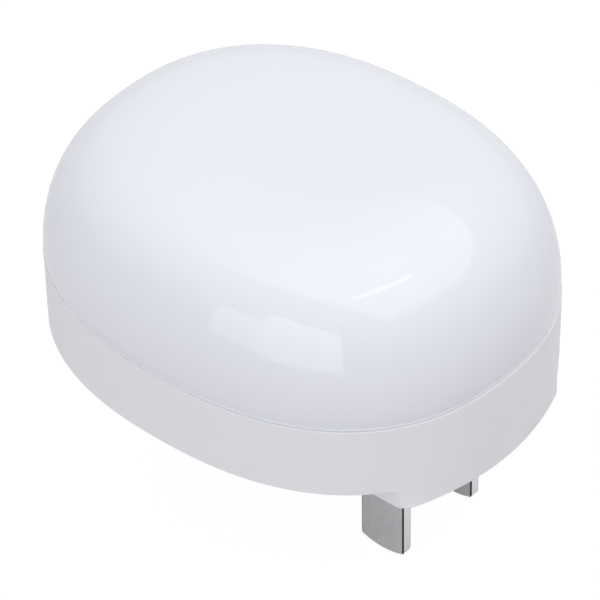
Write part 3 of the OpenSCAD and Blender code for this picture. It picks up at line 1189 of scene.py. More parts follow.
@dataclass(frozen=True)
class Insulation:
    """A wire's soft insulation, with its stripped ends tinned."""

    name: str
    colour: Colour
    stripped_above: float
    stripped_beyond: float
    core_colour: Colour = (0.76, 0.77, 0.78)
    strip_soft: float = mm(0.02)
    roughness: tuple[float, float] = (0.34, 0.48)
    shades: tuple[float, float] = (0.92, 1.08)
    skin_size: float = mm(0.4)
    skin_depth: float = mm(0.01)

    def make(self) -> bpy.types.Material:
        """Builds the material.

        Returns:
            The finished material.
        """
        recipe = Recipe(self.name)
        skin = recipe.noise(self.skin_size, detail=3.0)
        colour = recipe.shade(skin, self.colour, *self.shades)
        reach = recipe.sums("ABSOLUTE", recipe.part(Axis.X))
        ends = ((recipe.part(Axis.Z), self.stripped_above), (reach, self.stripped_beyond))
        stripped = [
            recipe.remap(part, limit, limit + self.strip_soft) for part, limit in ends
        ]
        bare = recipe.sums("MAXIMUM", *stripped)
        recipe.drive("Base Color", recipe.blend(bare, colour, self.core_colour))
        recipe.drive("Metallic", bare)
        recipe.roughen(skin, *self.roughness)
        recipe.relief(skin, self.skin_depth)
        return recipe.material


# ---------------------------------------------------------------- sub-assemblies


@dataclass
class Diffuser:
    """The opal dome: one shell with a ribbed skirt that plugs into the base's rim."""

    oval: Oval = field(default_factory=lambda: Oval.of_node("diffuser"))
    segments: int = 192
    outer_rings: int = 60
    inner_rings: int = 30
    crowding: float = 1.7
    power_across: float = 5.2
    power_up: float = 2.17
    top_bend: float = -0.06
    wall: float = mm(2.2)
    crown_wall: float = mm(1.9)
    seam: float = mm(0.12)
    lip_radius: float = mm(0.1)
    lip_height: float = mm(0.3)
    bead: float = mm(0.1)
    bead_radius: float = mm(0.06)
    bead_space: float = mm(0.05)
    tuck: float = mm(0.11)
    tuck_height: float = mm(1.8)
    lean_in: float = mm(0.15)
    lean_heading: float = -62.0
    lean_height: float = mm(9.0)
    sink: float = mm(0.085)
    rim: float = mm(1.0)
    skirt_gap: float = mm(0.3)
    skirt_root: float = mm(0.4)
    skirt_slack: float = mm(0.02)
    rib_gap: float = mm(0.06)
    rib_drop: float = mm(0.3)
    ribs: int = 10
    rib_width: float = mm(0.9)
    foot_radius: float = mm(0.2)
    crease: float = 50.0

    @property
    def lip(self) -> float:
        """Level of the dome's lower edge."""
        return box_of("base_housing")[1].z + self.seam

    @property
    def foot(self) -> float:
        """Level of the skirt's lower end."""
        return box_of("diffuser")[0].z

    @property
    def crown(self) -> float:
        """Level of the dome's top."""
        return box_of("diffuser")[1].z

    def dome(self, inset: float, height: float, count: int) -> list[Ring]:
        """Rings of a dome from its lower edge to just below its top.

        Args:
            inset: How far the dome is set in.
            height: Its height above the lip.
            count: How many rings it has.

        Returns:
            The rings in order.
        """
        rings = []
        for k in range(count):
            angle = math.pi / 2 * (1 - (1 - k / count) ** self.crowding)
            share = math.cos(angle) ** (2 / self.power_across)
            rise = height * math.sin(angle) ** (2 / self.power_up)
            fade = max(0.0, 1 - rise / self.tuck_height) ** 2
            bend = self.top_bend * rise / height
            rings.append(Ring(inset + self.tuck * fade, self.lip + rise, share, bend))
        return rings

    def shell(self) -> bmesh.types.BMesh:
        """Models the dome, its lip and its skirt.

        Returns:
            The mesh, with a plain lip and skirt.
        """
        shell = Shell(self.oval, self.segments)
        top = self.lip + self.lip_height
        outer = [
            ring
            for ring in self.dome(0.0, self.crown - self.lip, self.outer_rings)
            if ring.level > top + self.bead_space
        ]
        proud = self.tuck - self.bead
        shell.start(Ring(proud, self.lip + self.lip_radius))
        lower_edge = shell.edge
        bead_top = Ring(proud + self.bead_radius, top - self.bead_radius)
        shell.carry(edge_arc(bead_top, self.bead_radius, 0, 90, steps=3))
        shell.carry([Ring(self.tuck, top)])
        shell.carry(outer)
        shell.close(self.crown)
        shell.edge = lower_edge
        corner = Ring(proud + self.lip_radius, self.lip + self.lip_radius)
        shell.carry(edge_arc(corner, self.lip_radius, 0, -90)[1:])
        skirt = self.rim + self.skirt_gap
        foot_out = Ring(skirt + self.foot_radius, self.foot + self.foot_radius)
        foot_in = Ring(self.wall - self.foot_radius, self.foot + self.foot_radius)
        root = self.lip - self.skirt_root
        shell.carry([Ring(skirt, self.lip), Ring(skirt, root)])
        shell.carry(edge_arc(foot_out, self.foot_radius, 0, -90))
        shell.carry(edge_arc(foot_in, self.foot_radius, -90, -180))
        inner_height = self.crown - self.crown_wall - self.lip
        inner = self.dome(self.wall - self.tuck, inner_height, self.inner_rings)
        shell.carry([Ring(self.wall, root), *inner[1:]])
        shell.close(self.crown - self.crown_wall)
        return shell.mesh

    def settle(self, mesh: bmesh.types.BMesh) -> None:
        """Draws the dome's lower edge in and down towards the rim on one side.

        Args:
            mesh: The dome's mesh.
        """
        heading = math.radians(self.lean_heading)
        middle = Vector((0.0, self.oval.middle_y))
        for vert in mesh.verts:
            rise = vert.co.z - self.lip
            angle = self.oval.angle_of(vert.co)
            spoke = vert.co.xy - middle
            inset = (Vector(self.oval.at(angle)) - middle).length - spoke.length
            if rise < -SAME_LINE or rise > self.lean_height or inset > self.wall / 2:
                continue
            around = max(0.0, math.cos(angle - heading))
            fade = (1 - rise / self.lean_height) ** 2
            vert.co.xy = middle + spoke * (1 - self.lean_in * around * fade / spoke.length)
            vert.co.z -= self.sink * math.sqrt(around) * fade

    def rib_places(self) -> list[float]:
        """Angles of the crush ribs."""
        return [2 * math.pi * k / self.ribs for k in range(self.ribs)]

    def add_ribs(self, mesh: bmesh.types.BMesh) -> None:
        """Raises the crush ribs on the skirt's outside.

        Args:
            mesh: The dome's mesh.
        """
        skirt = self.rim + self.skirt_gap
        lowest, highest = self.foot + self.foot_radius / 2, self.lip - self.rib_drop
        for vert in mesh.verts:
            if vert.co.z > highest or vert.co.z < lowest:
                continue
            angle = self.oval.angle_of(vert.co)
            x, y = self.oval.at(angle, skirt)
            if (Vector((x, y)) - vert.co.xy).length > self.skirt_slack:
                continue
            gaps = [abs(math.remainder(angle - rib, 2 * math.pi)) for rib in self.rib_places()]
            reach = min(gaps) * Vector((x, y - self.oval.middle_y)).length
            lift = max(0.0, 1 - 2 * reach / self.rib_width) * (self.skirt_gap - self.rib_gap)
            vert.co.x, vert.co.y = self.oval.at(angle, skirt - lift)

    def build(self) -> bpy.types.Object:
        """Models and dresses the diffuser.

        Returns:
            The finished piece.
        """
        mesh = self.shell()
        self.settle(mesh)
        self.add_ribs(mesh)
        piece = to_object(mesh, "opal_dome")
        piece.data.shade_smooth()
        piece.data.set_sharp_from_angle(angle=math.radians(self.crease))
        return piece


@dataclass
class BaseHousing:
    """The white oval tub with the raised plug pad at one end of its back."""

    oval: Oval = field(default_factory=lambda: Oval.of_node("base_housing"))
    segments: int = 192
    pad_height: float = mm(2.7)
    pad_width: float = mm(29.6)
    pad_top: float = mm(9.0)
    pad_corner: float = mm(3.0)
    pad_front: float = mm(-12.84)
    pad_front_radius: float = mm(32.0)
    pad_front_corners: tuple[float, float] = (mm(1.2), mm(3.0))
    pad_front_steps: int = 8
    pad_face: float = mm(2.0)
    pad_wall: float = mm(1.9)
    pocket_bottom: float = mm(-6.5)
    pocket_corner: float = mm(1.5)
    back: float = mm(1.7)
    draft: float = mm(0.16)
    rim_inset: float = mm(0.05)
    rim: float = mm(1.0)
    wall: float = mm(2.2)
    shelf_depth: float = mm(3.0)
    edge_radius: float = mm(0.1)
    rim_radius: float = mm(0.2)
    inner_radius: float = mm(0.12)
    post_radius: float = mm(2.3)
    boss_radius: float = mm(1.9)
    boss_height: float = mm(2.7)
    pilot_radius: float = mm(0.9)
    pilot_depth: float = mm(0.4)
    blade_slack: float = mm(0.1)
    window_width: float = mm(3.4)
    window_slack: float = mm(0.06)
    window_depth: float = mm(3.0)
    window_length: float = mm(5.0)
    embed: float = mm(0.3)
    crease: float = 40.0
    crowded: float = mm(0.5)
    least_side: float = mm(5.0)

    @property
    def rim_level(self) -> float:
        """Level of the rim."""
        return box_of("base_housing")[1].z

    @property
    def floor(self) -> float:
        """Level of the back plate's inner side."""
        return self.pad_height + self.back

    def on_side(self, vert: bmesh.types.BMVert) -> bool:
        """Whether a vertex lies in the plane of one of the pad's sides."""
        return abs(abs(vert.co.x) - self.pad_width / 2) < SAME_LINE

    def pad_outline(self, shell: Shell) -> None:
        """Draws the pad's outline on the back and pulls the pad out of it.

        Args:
            shell: The shell, with its first ring closed by a face.
        """
        mesh = shell.mesh
        cuts = (
            ((-self.pad_width / 2, 0, 0), (1, 0, 0)),
            ((self.pad_width / 2, 0, 0), (1, 0, 0)),
            ((0, self.pad_top, 0), (0, 1, 0)),
        )
        for point, normal in cuts:
            everything = [*mesh.verts, *mesh.edges, *mesh.faces]
            bmesh.ops.bisect_plane(
                mesh, geom=everything, dist=SAME_POINT, plane_co=point, plane_no=normal
            )
        pad = min(mesh.faces, key=lambda face: face.calc_center_median().xy.length)
        spare = [
            edge for edge in mesh.edges if len(edge.link_faces) == 2 and pad not in edge.link_faces
        ]
        bmesh.ops.dissolve_edges(mesh, edges=spare, use_verts=True)
        sides = [vert for vert in mesh.verts if self.on_side(vert)]
        close = [
            vert
            for vert in mesh.verts
            if vert not in sides
            and any((vert.co - side.co).length < self.crowded for side in sides)
        ]
        bmesh.ops.dissolve_verts(mesh, verts=close)
        corners = [vert for vert in sides if abs(vert.co.y - self.pad_top) < SAME_LINE]
        round_off(mesh, corners, self.pad_corner, steps=10, of_edges=False)
        self.crowd_front_corners(mesh)
        pad = min(mesh.faces, key=lambda face: face.calc_center_median().xy.length)
        grown = bmesh.ops.extrude_face_region(mesh, geom=[pad], use_keep_orig=True)["geom"]
        moved = [item for item in grown if isinstance(item, bmesh.types.BMVert)]
        bmesh.ops.translate(mesh, verts=moved, vec=(0, 0, -self.pad_height))
        for vert in moved:
            vert.co.x, vert.co.y = self.flared(vert.co)
        bmesh.ops.delete(mesh, geom=[pad], context="FACES_ONLY")
        shell.edge = [edge for edge in mesh.edges if edge.is_boundary]

    @property
    def front_corner(self) -> float:
        """How far forward the pad's sides reach on the back plate.

        Returns:
            Their ends' Y.
        """
        across = self.pad_width / 2 / (self.oval.half_x - self.draft)
        along = (1 - across**self.oval.exponent) ** (1 / self.oval.exponent)
        return self.oval.middle_y - along * (self.oval.half_y - self.draft)

    def crowd_front_corners(self, mesh: bmesh.types.BMesh) -> None:
        """Adds points on the pad's sides next to its front corners.

        Args:
            mesh: The housing's mesh, with the pad's outline drawn on it.
        """
        sides = [
            edge
            for edge in mesh.edges
            if all(self.on_side(vert) for vert in edge.verts)
            and edge.calc_length() > self.least_side
        ]
        for edge in sides:
            far, foot = sorted(edge.verts, key=lambda vert: -vert.co.y)
            step = 2 * self.pad_front_corners[foot.co.x > 0] / self.pad_front_steps
            for k in range(self.pad_front_steps, 0, -1):
                left = (far.co - foot.co).length
                _, far = bmesh.utils.edge_split(edge, foot, k * step / left)
                edge = next(e for e in foot.link_edges if far in e.verts)

    def flared(self, point: Vector) -> tuple[float, float]:
        """Where a point of the pad's outline lies on the pad's face.

        Args:
            point: The point on the back plate.

        Returns:
            Its X and Y on the face, whose front is flatter and has rounded corners.
        """
        half = self.pad_width / 2
        start = self.front_corner
        radius = self.pad_front_corners[point.x > 0]
        if point.y > start + 2 * radius or abs(point.x) > half + SAME_LINE:
            return point.x, point.y
        side = math.copysign(1.0, point.x)
        corner = self.pad_front + half**2 / (2 * self.pad_front_radius)
        if abs(point.x) > half - SAME_LINE:
            share = (point.y - start) / (2 * radius)
            along = -share * (start + 2 * radius - corner)
        else:
            along = half - abs(point.x)
        if along <= -radius:
            return point.x, corner - along
        if along >= radius:
            return point.x, self.pad_front + point.x**2 / (2 * self.pad_front_radius)
        turn = math.radians(45 * (along / radius + 1))
        x = half - radius * (1 - math.cos(turn))
        y = corner + radius * (1 - math.sin(turn))
        lean = (half - x) * half / self.pad_front_radius * (along / radius + 1) / 2
        return side * x, y - lean

    def outer_edges(self, mesh: bmesh.types.BMesh) -> list[bmesh.types.BMEdge]:
        """The edges of the back and the pad that are rounded.

        Args:
            mesh: The housing's mesh.

        Returns:
            Those edges.
        """
        found = []
        for edge in mesh.edges:
            upright = rise_of(edge) > UPRIGHT
            above = max(vert.co.z for vert in edge.verts) > self.pad_height + SAME_LINE
            if upright or above or len(edge.link_faces) != 2:
                continue
            if edge.calc_face_angle() > math.radians(self.crease):
                found.append(edge)
        return found

    def tub(self) -> bmesh.types.BMesh:
        """Models the tub with its pad and rounded edges.

        Returns:
            The mesh, before the pocket and the holes are cut.
        """
        shell = Shell(self.oval, self.segments)
        shell.start(Ring(self.draft, self.pad_height), capped=True)
        self.pad_outline(shell)
        top = self.rim_level
        outer = Ring(self.rim_inset + self.rim_radius, top - self.rim_radius)
        inner = Ring(self.rim - self.inner_radius, top - self.inner_radius)
        shelf = top - self.shelf_depth
        step = Ring(self.wall - self.inner_radius, shelf - self.inner_radius)
        shell.carry(edge_arc(outer, self.rim_radius, 0, 90, steps=6))
        shell.carry(edge_arc(inner, self.inner_radius, 90, 180, steps=3))
        shell.carry([Ring(self.rim, shelf)])
        shell.carry(edge_arc(step, self.inner_radius, 90, 180, steps=3))
        shell.carry([Ring(self.wall, self.floor)])
        bmesh.ops.edgeloop_fill(shell.mesh, edges=shell.edge)
        bmesh.ops.recalc_face_normals(shell.mesh, faces=shell.mesh.faces)
        round_off(shell.mesh, self.outer_edges(shell.mesh), self.edge_radius, steps=4)
        return shell.mesh

    def pocket(self, mesh: bmesh.types.BMesh) -> None:
        """Adds the pocket in the pad that holds the blades' shoulders.

        Args:
            mesh: The mesh of the parts to cut away.
        """
        half = self.pad_width / 2 - self.pad_wall
        low = Vector((-half, self.pocket_bottom, self.pad_face))
        high = Vector((half, self.pad_top - self.pad_wall, self.floor + OVERSHOOT))
        made = add_box(mesh, low, high)
        edges = dict.fromkeys(edge for vert in made for edge in vert.link_edges)
        upright = [edge for edge in edges if rise_of(edge) > UPRIGHT]
        round_off(mesh, upright, self.pocket_corner, steps=6)

    def posts(self) -> bmesh.types.BMesh:
        """Models the board's posts and the clamp's bosses.

        Returns:
            Their mesh.
        """
        mesh = bmesh.new()
        board = box_of("led_board")[0].z
        for screw in islands("board_screws"):
            foot = Vector((*middle_of(screw), self.floor - self.embed))
            add_post(mesh, foot, board - foot.z, self.post_radius)
        for screw in islands("clamp_screws"):
            foot = Vector((*middle_of(screw), self.pad_face - self.embed))
            add_post(mesh, foot, self.boss_height + self.embed, self.boss_radius)
        return mesh

    def holes(self) -> bmesh.types.BMesh:
        """Models what is cut away: pilot holes, blade slots and the sensor's window.

        Returns:
            The mesh of the parts to cut away.
        """
        mesh = bmesh.new()
        for low, high in islands("board_screws") + islands("clamp_screws"):
            foot = Vector((*middle_of((low, high)), low.z - self.pilot_depth))
            add_post(mesh, foot, high.z - foot.z, self.pilot_radius)
        for node in ("blade_left", "blade_right"):
            low, high = box_of(node)
            half = self.blade_slack + Blade.width / 2
            near = Vector((low.x - self.blade_slack, -half, -OVERSHOOT))
            far = Vector((high.x + self.blade_slack, half, self.pad_face + OVERSHOOT))
            add_box(mesh, near, far)
        low, high = box_of("sensor_window")
        foot = Vector((0.0, high.y - self.window_depth, (low.z + high.z) / 2))
        radius = self.window_width / 2 + self.window_slack
        add_post(mesh, foot, self.window_length, radius, Axis.Y)
        return mesh

    def build(self) -> bpy.types.Object:
        """Models and dresses the housing.

        Returns:
            The finished piece.
        """
        piece = to_object(self.tub(), "oval_housing")
        cavity = bmesh.new()
        self.pocket(cavity)
        cut_or_join(piece, cavity, "DIFFERENCE")
        cut_or_join(piece, self.posts(), "UNION")
        cut_or_join(piece, self.holes(), "DIFFERENCE")
        smooth(piece)
        return piece


@dataclass
class Blade:
    """One flat plug blade, with an arc tip, trapped shoulders and a solder tab."""

    node: str
    width: float = mm(6.35)
    thickness: float = mm(1.5)
    tip_radius: float = mm(8.4)
    tip_steps: int = 24
    tip_corner: float = mm(0.5)
    pad_face: float = mm(2.0)
    shoulder_width: float = mm(9.0)
    shoulder_height: float = mm(2.8)
    tab_width: float = mm(4.2)
    edge_radius: float = mm(0.2)
    hole_radius: float = mm(0.6)
    hole_drop: float = mm(1.0)
    crease: float = 40.0

    def outline(self) -> list[tuple[float, float]]:
        """The blade's outline.

        Returns:
            Its corners, as distances along Y and Z.
        """
        low, high = box_of(self.node)
        half = self.width / 2
        spread = math.asin(half / self.tip_radius)
        points = []
        for k in range(self.tip_steps + 1):
            angle = spread * (2 * k / self.tip_steps - 1)
            rise = self.tip_radius * (1 - math.cos(angle))
            points.append((self.tip_radius * math.sin(angle), low.z + rise))
        shoulder = self.pad_face + self.shoulder_height
        inner = (
            (half, self.pad_face),
            (self.shoulder_width / 2, self.pad_face),
            (self.shoulder_width / 2, shoulder),
            (self.tab_width / 2, shoulder),
            (self.tab_width / 2, high.z),
        )
        return [*points, *inner, *((-y, z) for y, z in reversed(inner))]

    def build(self) -> bpy.types.Object:
        """Models the blade.

        Returns:
            The finished piece.
        """
        low, high = box_of(self.node)
        mesh = bmesh.new()
        outline = [mesh.verts.new((low.x, y, z)) for y, z in self.outline()]
        mesh.faces.new(outline)
        tip_ends = [outline[0], outline[self.tip_steps]]
        round_off(mesh, tip_ends, self.tip_corner, steps=5, of_edges=False)
        face = mesh.faces[:][0]
        grown = bmesh.ops.extrude_face_region(mesh, geom=[face], use_keep_orig=True)["geom"]
        moved = [item for item in grown if isinstance(item, bmesh.types.BMVert)]
        bmesh.ops.translate(mesh, verts=moved, vec=(high.x - low.x, 0, 0))
        bmesh.ops.recalc_face_normals(mesh, faces=mesh.faces)
        rims = [
            edge
            for edge in mesh.edges
            if abs(edge.verts[0].co.x - edge.verts[1].co.x) < SAME_LINE
            and len(edge.link_faces) == 2
        ]
        round_off(mesh, rims, self.edge_radius, steps=3)
        piece = to_object(mesh, self.node.replace("_", "_plug_"))
        hole = bmesh.new()
        foot = Vector((low.x - OVERSHOOT, 0.0, high.z - self.hole_drop))
        add_post(hole, foot, high.x - low.x + 2 * OVERSHOOT, self.hole_radius, Axis.X)
        cut_or_join(piece, hole, "DIFFERENCE")
        smooth(piece, self.crease)
        return piece


# ---------------------------------------------------------------- the studio


class Wall(Enum):
    """The planes that the light panels hang in."""

    CEILING = "ceiling"
    LEFT = "left"


@dataclass(frozen=True)
class Panel:
    """A soft light panel, level with the ceiling or with the left wall.

    Its limits are shares of its distance, along X and Y on the ceiling, and along Y and Z on
    the left wall.
    """

    name: str
    wall: Wall
    across: tuple[float, float]
    along: tuple[float, float]
    radiance: float
    distance: float = 0.8
    fades: bool = False
    fade_from: float = 0.45

    def build(self, centre: Vector) -> bpy.types.Object:
        """Hangs the panel.

        Args:
            centre: The point that its distance and limits are measured from.

        Returns:
            The light's object.
        """
        lamp = bpy.data.lights.new(self.name, "AREA")
        lamp.shape = "RECTANGLE"
        lamp.size = (self.across[1] - self.across[0]) * self.distance
        lamp.size_y = (self.along[1] - self.along[0]) * self.distance
        lamp.energy = self.radiance * math.pi * lamp.size * lamp.size_y
        if self.fades:
            self.fade(lamp)
        middle = [sum(limits) / 2 * self.distance for limits in (self.across, self.along)]
        made = in_scene(self.name, lamp)
        if self.wall is Wall.CEILING:
            made.location = centre + Vector((*middle, self.distance))
        else:
            made.location = centre + Vector((-self.distance, *middle))
            made.rotation_euler = Vector((1.0, 0.0, 0.0)).to_track_quat("-Z", "Y").to_euler()
        made.visible_camera = False
        return made

    def fade(self, lamp: bpy.types.AreaLight) -> None:
        """Lets the panel's light die away along its second side.

        Args:
            lamp: The panel's light.
        """
        lamp.use_nodes = True
        tree = lamp.node_tree
        emission = next(node for node in tree.nodes if node.type == "EMISSION")
        place = tree.nodes.new("ShaderNodeNewGeometry")
        split = tree.nodes.new("ShaderNodeSeparateXYZ")
        tree.links.new(place.outputs["Parametric"], split.inputs[0])
        left = smooth_ramp(tree, split.outputs["Y"], (self.fade_from, 1.0), (1.0, 0.0))
        tree.links.new(left, emission.inputs["Strength"])


@dataclass
class Studio:
    """The pale floor, the soft light and the camera."""

    target: tuple[float, float, float] = (0.0, mm(17.9), mm(12.4))
    azimuth: float = -49.257
    elevation: float = 40.612
    roll: float = -0.965
    distance: float = mm(548.619)
    slide: tuple[float, float] = (mm(0.142), mm(4.23))
    sensor: float = 36.0
    lens: float = 283.856
    near_clip: float = 0.01
    floor_size: float = 8.0
    floor_colour: Colour = (0.41, 0.405, 0.425)
    floor_mirrored: Colour = (0.97, 0.97, 0.97)
    far_mirrored: Colour = (0.83, 0.82, 0.85)
    far_reach: tuple[float, float] = (mm(20.0), mm(70.0))
    floor_white: float = 1.2
    camera_share: float = 0.8
    ambient: Colour = WHITE
    ambient_strength: float = 0.622
    front_heading: float = -68.0
    front_strength: float = 0.76
    far_heading: float = 5.0
    far_strength: float = 0.82
    panels: tuple[Panel, ...] = (
        Panel("overhead_panel", Wall.CEILING, (-0.34, 0.87), (-0.93, 1.0), radiance=0.79, fades=True),
        Panel("tube_light", Wall.CEILING, (-0.15, 0.36), (-0.29, -0.23), radiance=1.5, distance=0.7),
        Panel("side_panel", Wall.LEFT, (-0.8, 0.0), (-0.12, 0.85), radiance=1.2),
        Panel("side_panel_end", Wall.LEFT, (0.0, 0.33), (0.0, 0.55), radiance=0.9),
    )

    def camera(self) -> bpy.types.Object:
        """Sets up the camera.

        Returns:
            The camera's object.
        """
        data = bpy.data.cameras.new("camera")
        data.sensor_width = self.sensor
        data.lens = self.lens
        data.clip_start = self.near_clip
        angles = (self.azimuth, self.elevation, self.roll)
        azimuth, elevation, roll = (math.radians(angle) for angle in angles)
        back = Vector((
            math.sin(azimuth) * math.cos(elevation),
            -math.cos(azimuth) * math.cos(elevation),
            math.sin(elevation),
        ))
        level = Vector((math.cos(azimuth), math.sin(azimuth), 0.0))
        upright = back.cross(level)
        right = math.cos(roll) * level + math.sin(roll) * upright
        up = math.cos(roll) * upright - math.sin(roll) * level
        aside = self.slide[0] * right + self.slide[1] * up
        made = in_scene("camera", data)
        made.matrix_world = Matrix((right, up, back)).transposed().to_4x4()
        made.location = Vector(self.target) + self.distance * back - aside
        bpy.context.scene.camera = made
        return made

    def floor(self) -> bpy.types.Object:
        """Lays the floor at the blades' tips, clear when seen from below.

        Returns:
            The floor's object.
        """
        mesh = bmesh.new()
        place = Matrix.Translation((0.0, 0.0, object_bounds()[0].z))
        half = self.floor_size / 2
        bmesh.ops.create_grid(mesh, x_segments=1, y_segments=1, size=half, matrix=place)
        data = bpy.data.meshes.new("floor")
        mesh.to_mesh(data)
        mesh.free()
        data.materials.append(self.paper())
        made = in_scene("floor", data)
        made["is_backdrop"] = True
        return made

    def paper(self) -> bpy.types.Material:
        """The floor's white paper, with tones of its own in reflections and for the camera.

        Returns:
            The material.
        """
        paper = bpy.data.materials.new("white_paper")
        paper.use_nodes = True
        tree = paper.node_tree
        tree.nodes.clear()
        output = tree.nodes.new("ShaderNodeOutputMaterial")
        path = tree.nodes.new("ShaderNodeLightPath").outputs
        mirrored = arithmetic(tree, "MAXIMUM", path["Is Glossy Ray"], path["Is Transmission Ray"])
        tone = blended(tree, mirrored, self.floor_colour, self.mirrored_tone(tree))
        matte = tree.nodes.new("ShaderNodeBsdfDiffuse")
        tree.links.new(tone, matte.inputs["Color"])
        glow = tree.nodes.new("ShaderNodeEmission")
        glow.inputs["Strength"].default_value = self.floor_white
        share = arithmetic(tree, "MULTIPLY", path["Is Camera Ray"], self.camera_share)
        whiten = either(tree, share, matte.outputs[0], glow.outputs[0])
        clear = tree.nodes.new("ShaderNodeBsdfTransparent").outputs[0]
        below = tree.nodes.new("ShaderNodeNewGeometry").outputs["Backfacing"]
        tree.links.new(either(tree, below, whiten, clear), output.inputs["Surface"])
        return paper

    def mirrored_tone(self, tree: bpy.types.NodeTree) -> bpy.types.NodeSocket:
        """The floor's tone in reflections, darker beyond the object.

        Args:
            tree: The floor's node tree.

        Returns:
            The socket that gives the tone.
        """
        azimuth = math.radians(self.azimuth)
        place = tree.nodes.new("ShaderNodeTexCoord").outputs["Object"]
        beyond = reach_along(tree, place, (-math.sin(azimuth), math.cos(azimuth)))
        share = smooth_ramp(tree, beyond, self.far_reach)
        return blended(tree, share, self.floor_mirrored, self.far_mirrored)

    def world(self) -> None:
        """Lights the room evenly, white where the camera sees it."""
        world = bpy.data.worlds.new("room")
        bpy.context.scene.world = world
        world.use_nodes = True
        tree = world.node_tree
        tree.nodes.clear()
        output = tree.nodes.new("ShaderNodeOutputWorld")
        ambient = tree.nodes.new("ShaderNodeBackground")
        ambient.inputs["Color"].default_value = (*self.ambient, 1.0)
        view = tree.nodes.new("ShaderNodeTexCoord").outputs["Generated"]
        front = self.side_strength(tree, view, self.front_heading, self.front_strength)
        far = self.side_strength(tree, view, self.far_heading, self.far_strength)
        brighter = arithmetic(tree, "MAXIMUM", front, far)
        tree.links.new(brighter, ambient.inputs["Strength"])
        white = tree.nodes.new("ShaderNodeBackground")
        white.inputs["Color"].default_value = (*WHITE, 1.0)
        camera = tree.nodes.new("ShaderNodeLightPath").outputs["Is Camera Ray"]
        seen = either(tree, camera, ambient.outputs[0], white.outputs[0])
        tree.links.new(seen, output.inputs["Surface"])

    def side_strength(
        self, tree: bpy.types.NodeTree, view: bpy.types.NodeSocket, heading: float, strength: float
    ) -> bpy.types.NodeSocket:
        """The room light's strength, which changes evenly to one side.

        Args:
            tree: The world's node tree.
            view: The direction that the light comes from.
            heading: The side's heading from +X.
            strength: The strength there.

        Returns:
            The socket that gives the strength.
        """
        turn = math.radians(heading)
        toward = reach_along(tree, view, (math.cos(turn), math.sin(turn)))
        return smooth_ramp(tree, toward, results=(self.ambient_strength, strength))

    def build(self) -> None:
        """Sets up the whole studio."""
        bpy.context.scene.view_settings.view_transform = "Standard"
        self.camera()
        self.floor()
        self.world()
        centre = Vector(self.target)
        for panel in self.panels:
            panel.build(centre)
            LOG.info("light %s", panel.name)


# ---------------------------------------------------------------- putting it together


def finish_piece(
    piece: bpy.types.Object,
    material: bpy.types.Material,
    body: Body,
    nodes: Sequence[str],
) -> None:
    """Dresses a new piece and puts it in the nodes' place.

    Args:
        piece: The piece.
        material: Its material.
        body: The body that it rides on.
        nodes: The nodes that it stands for.
    """
    piece.data.materials.clear()
    piece.data.materials.append(material)
    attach(piece, body.value)
    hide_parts(*nodes)
    LOG.info("piece %s: %d faces on %s", piece.name, len(piece.data.polygons), body.value)


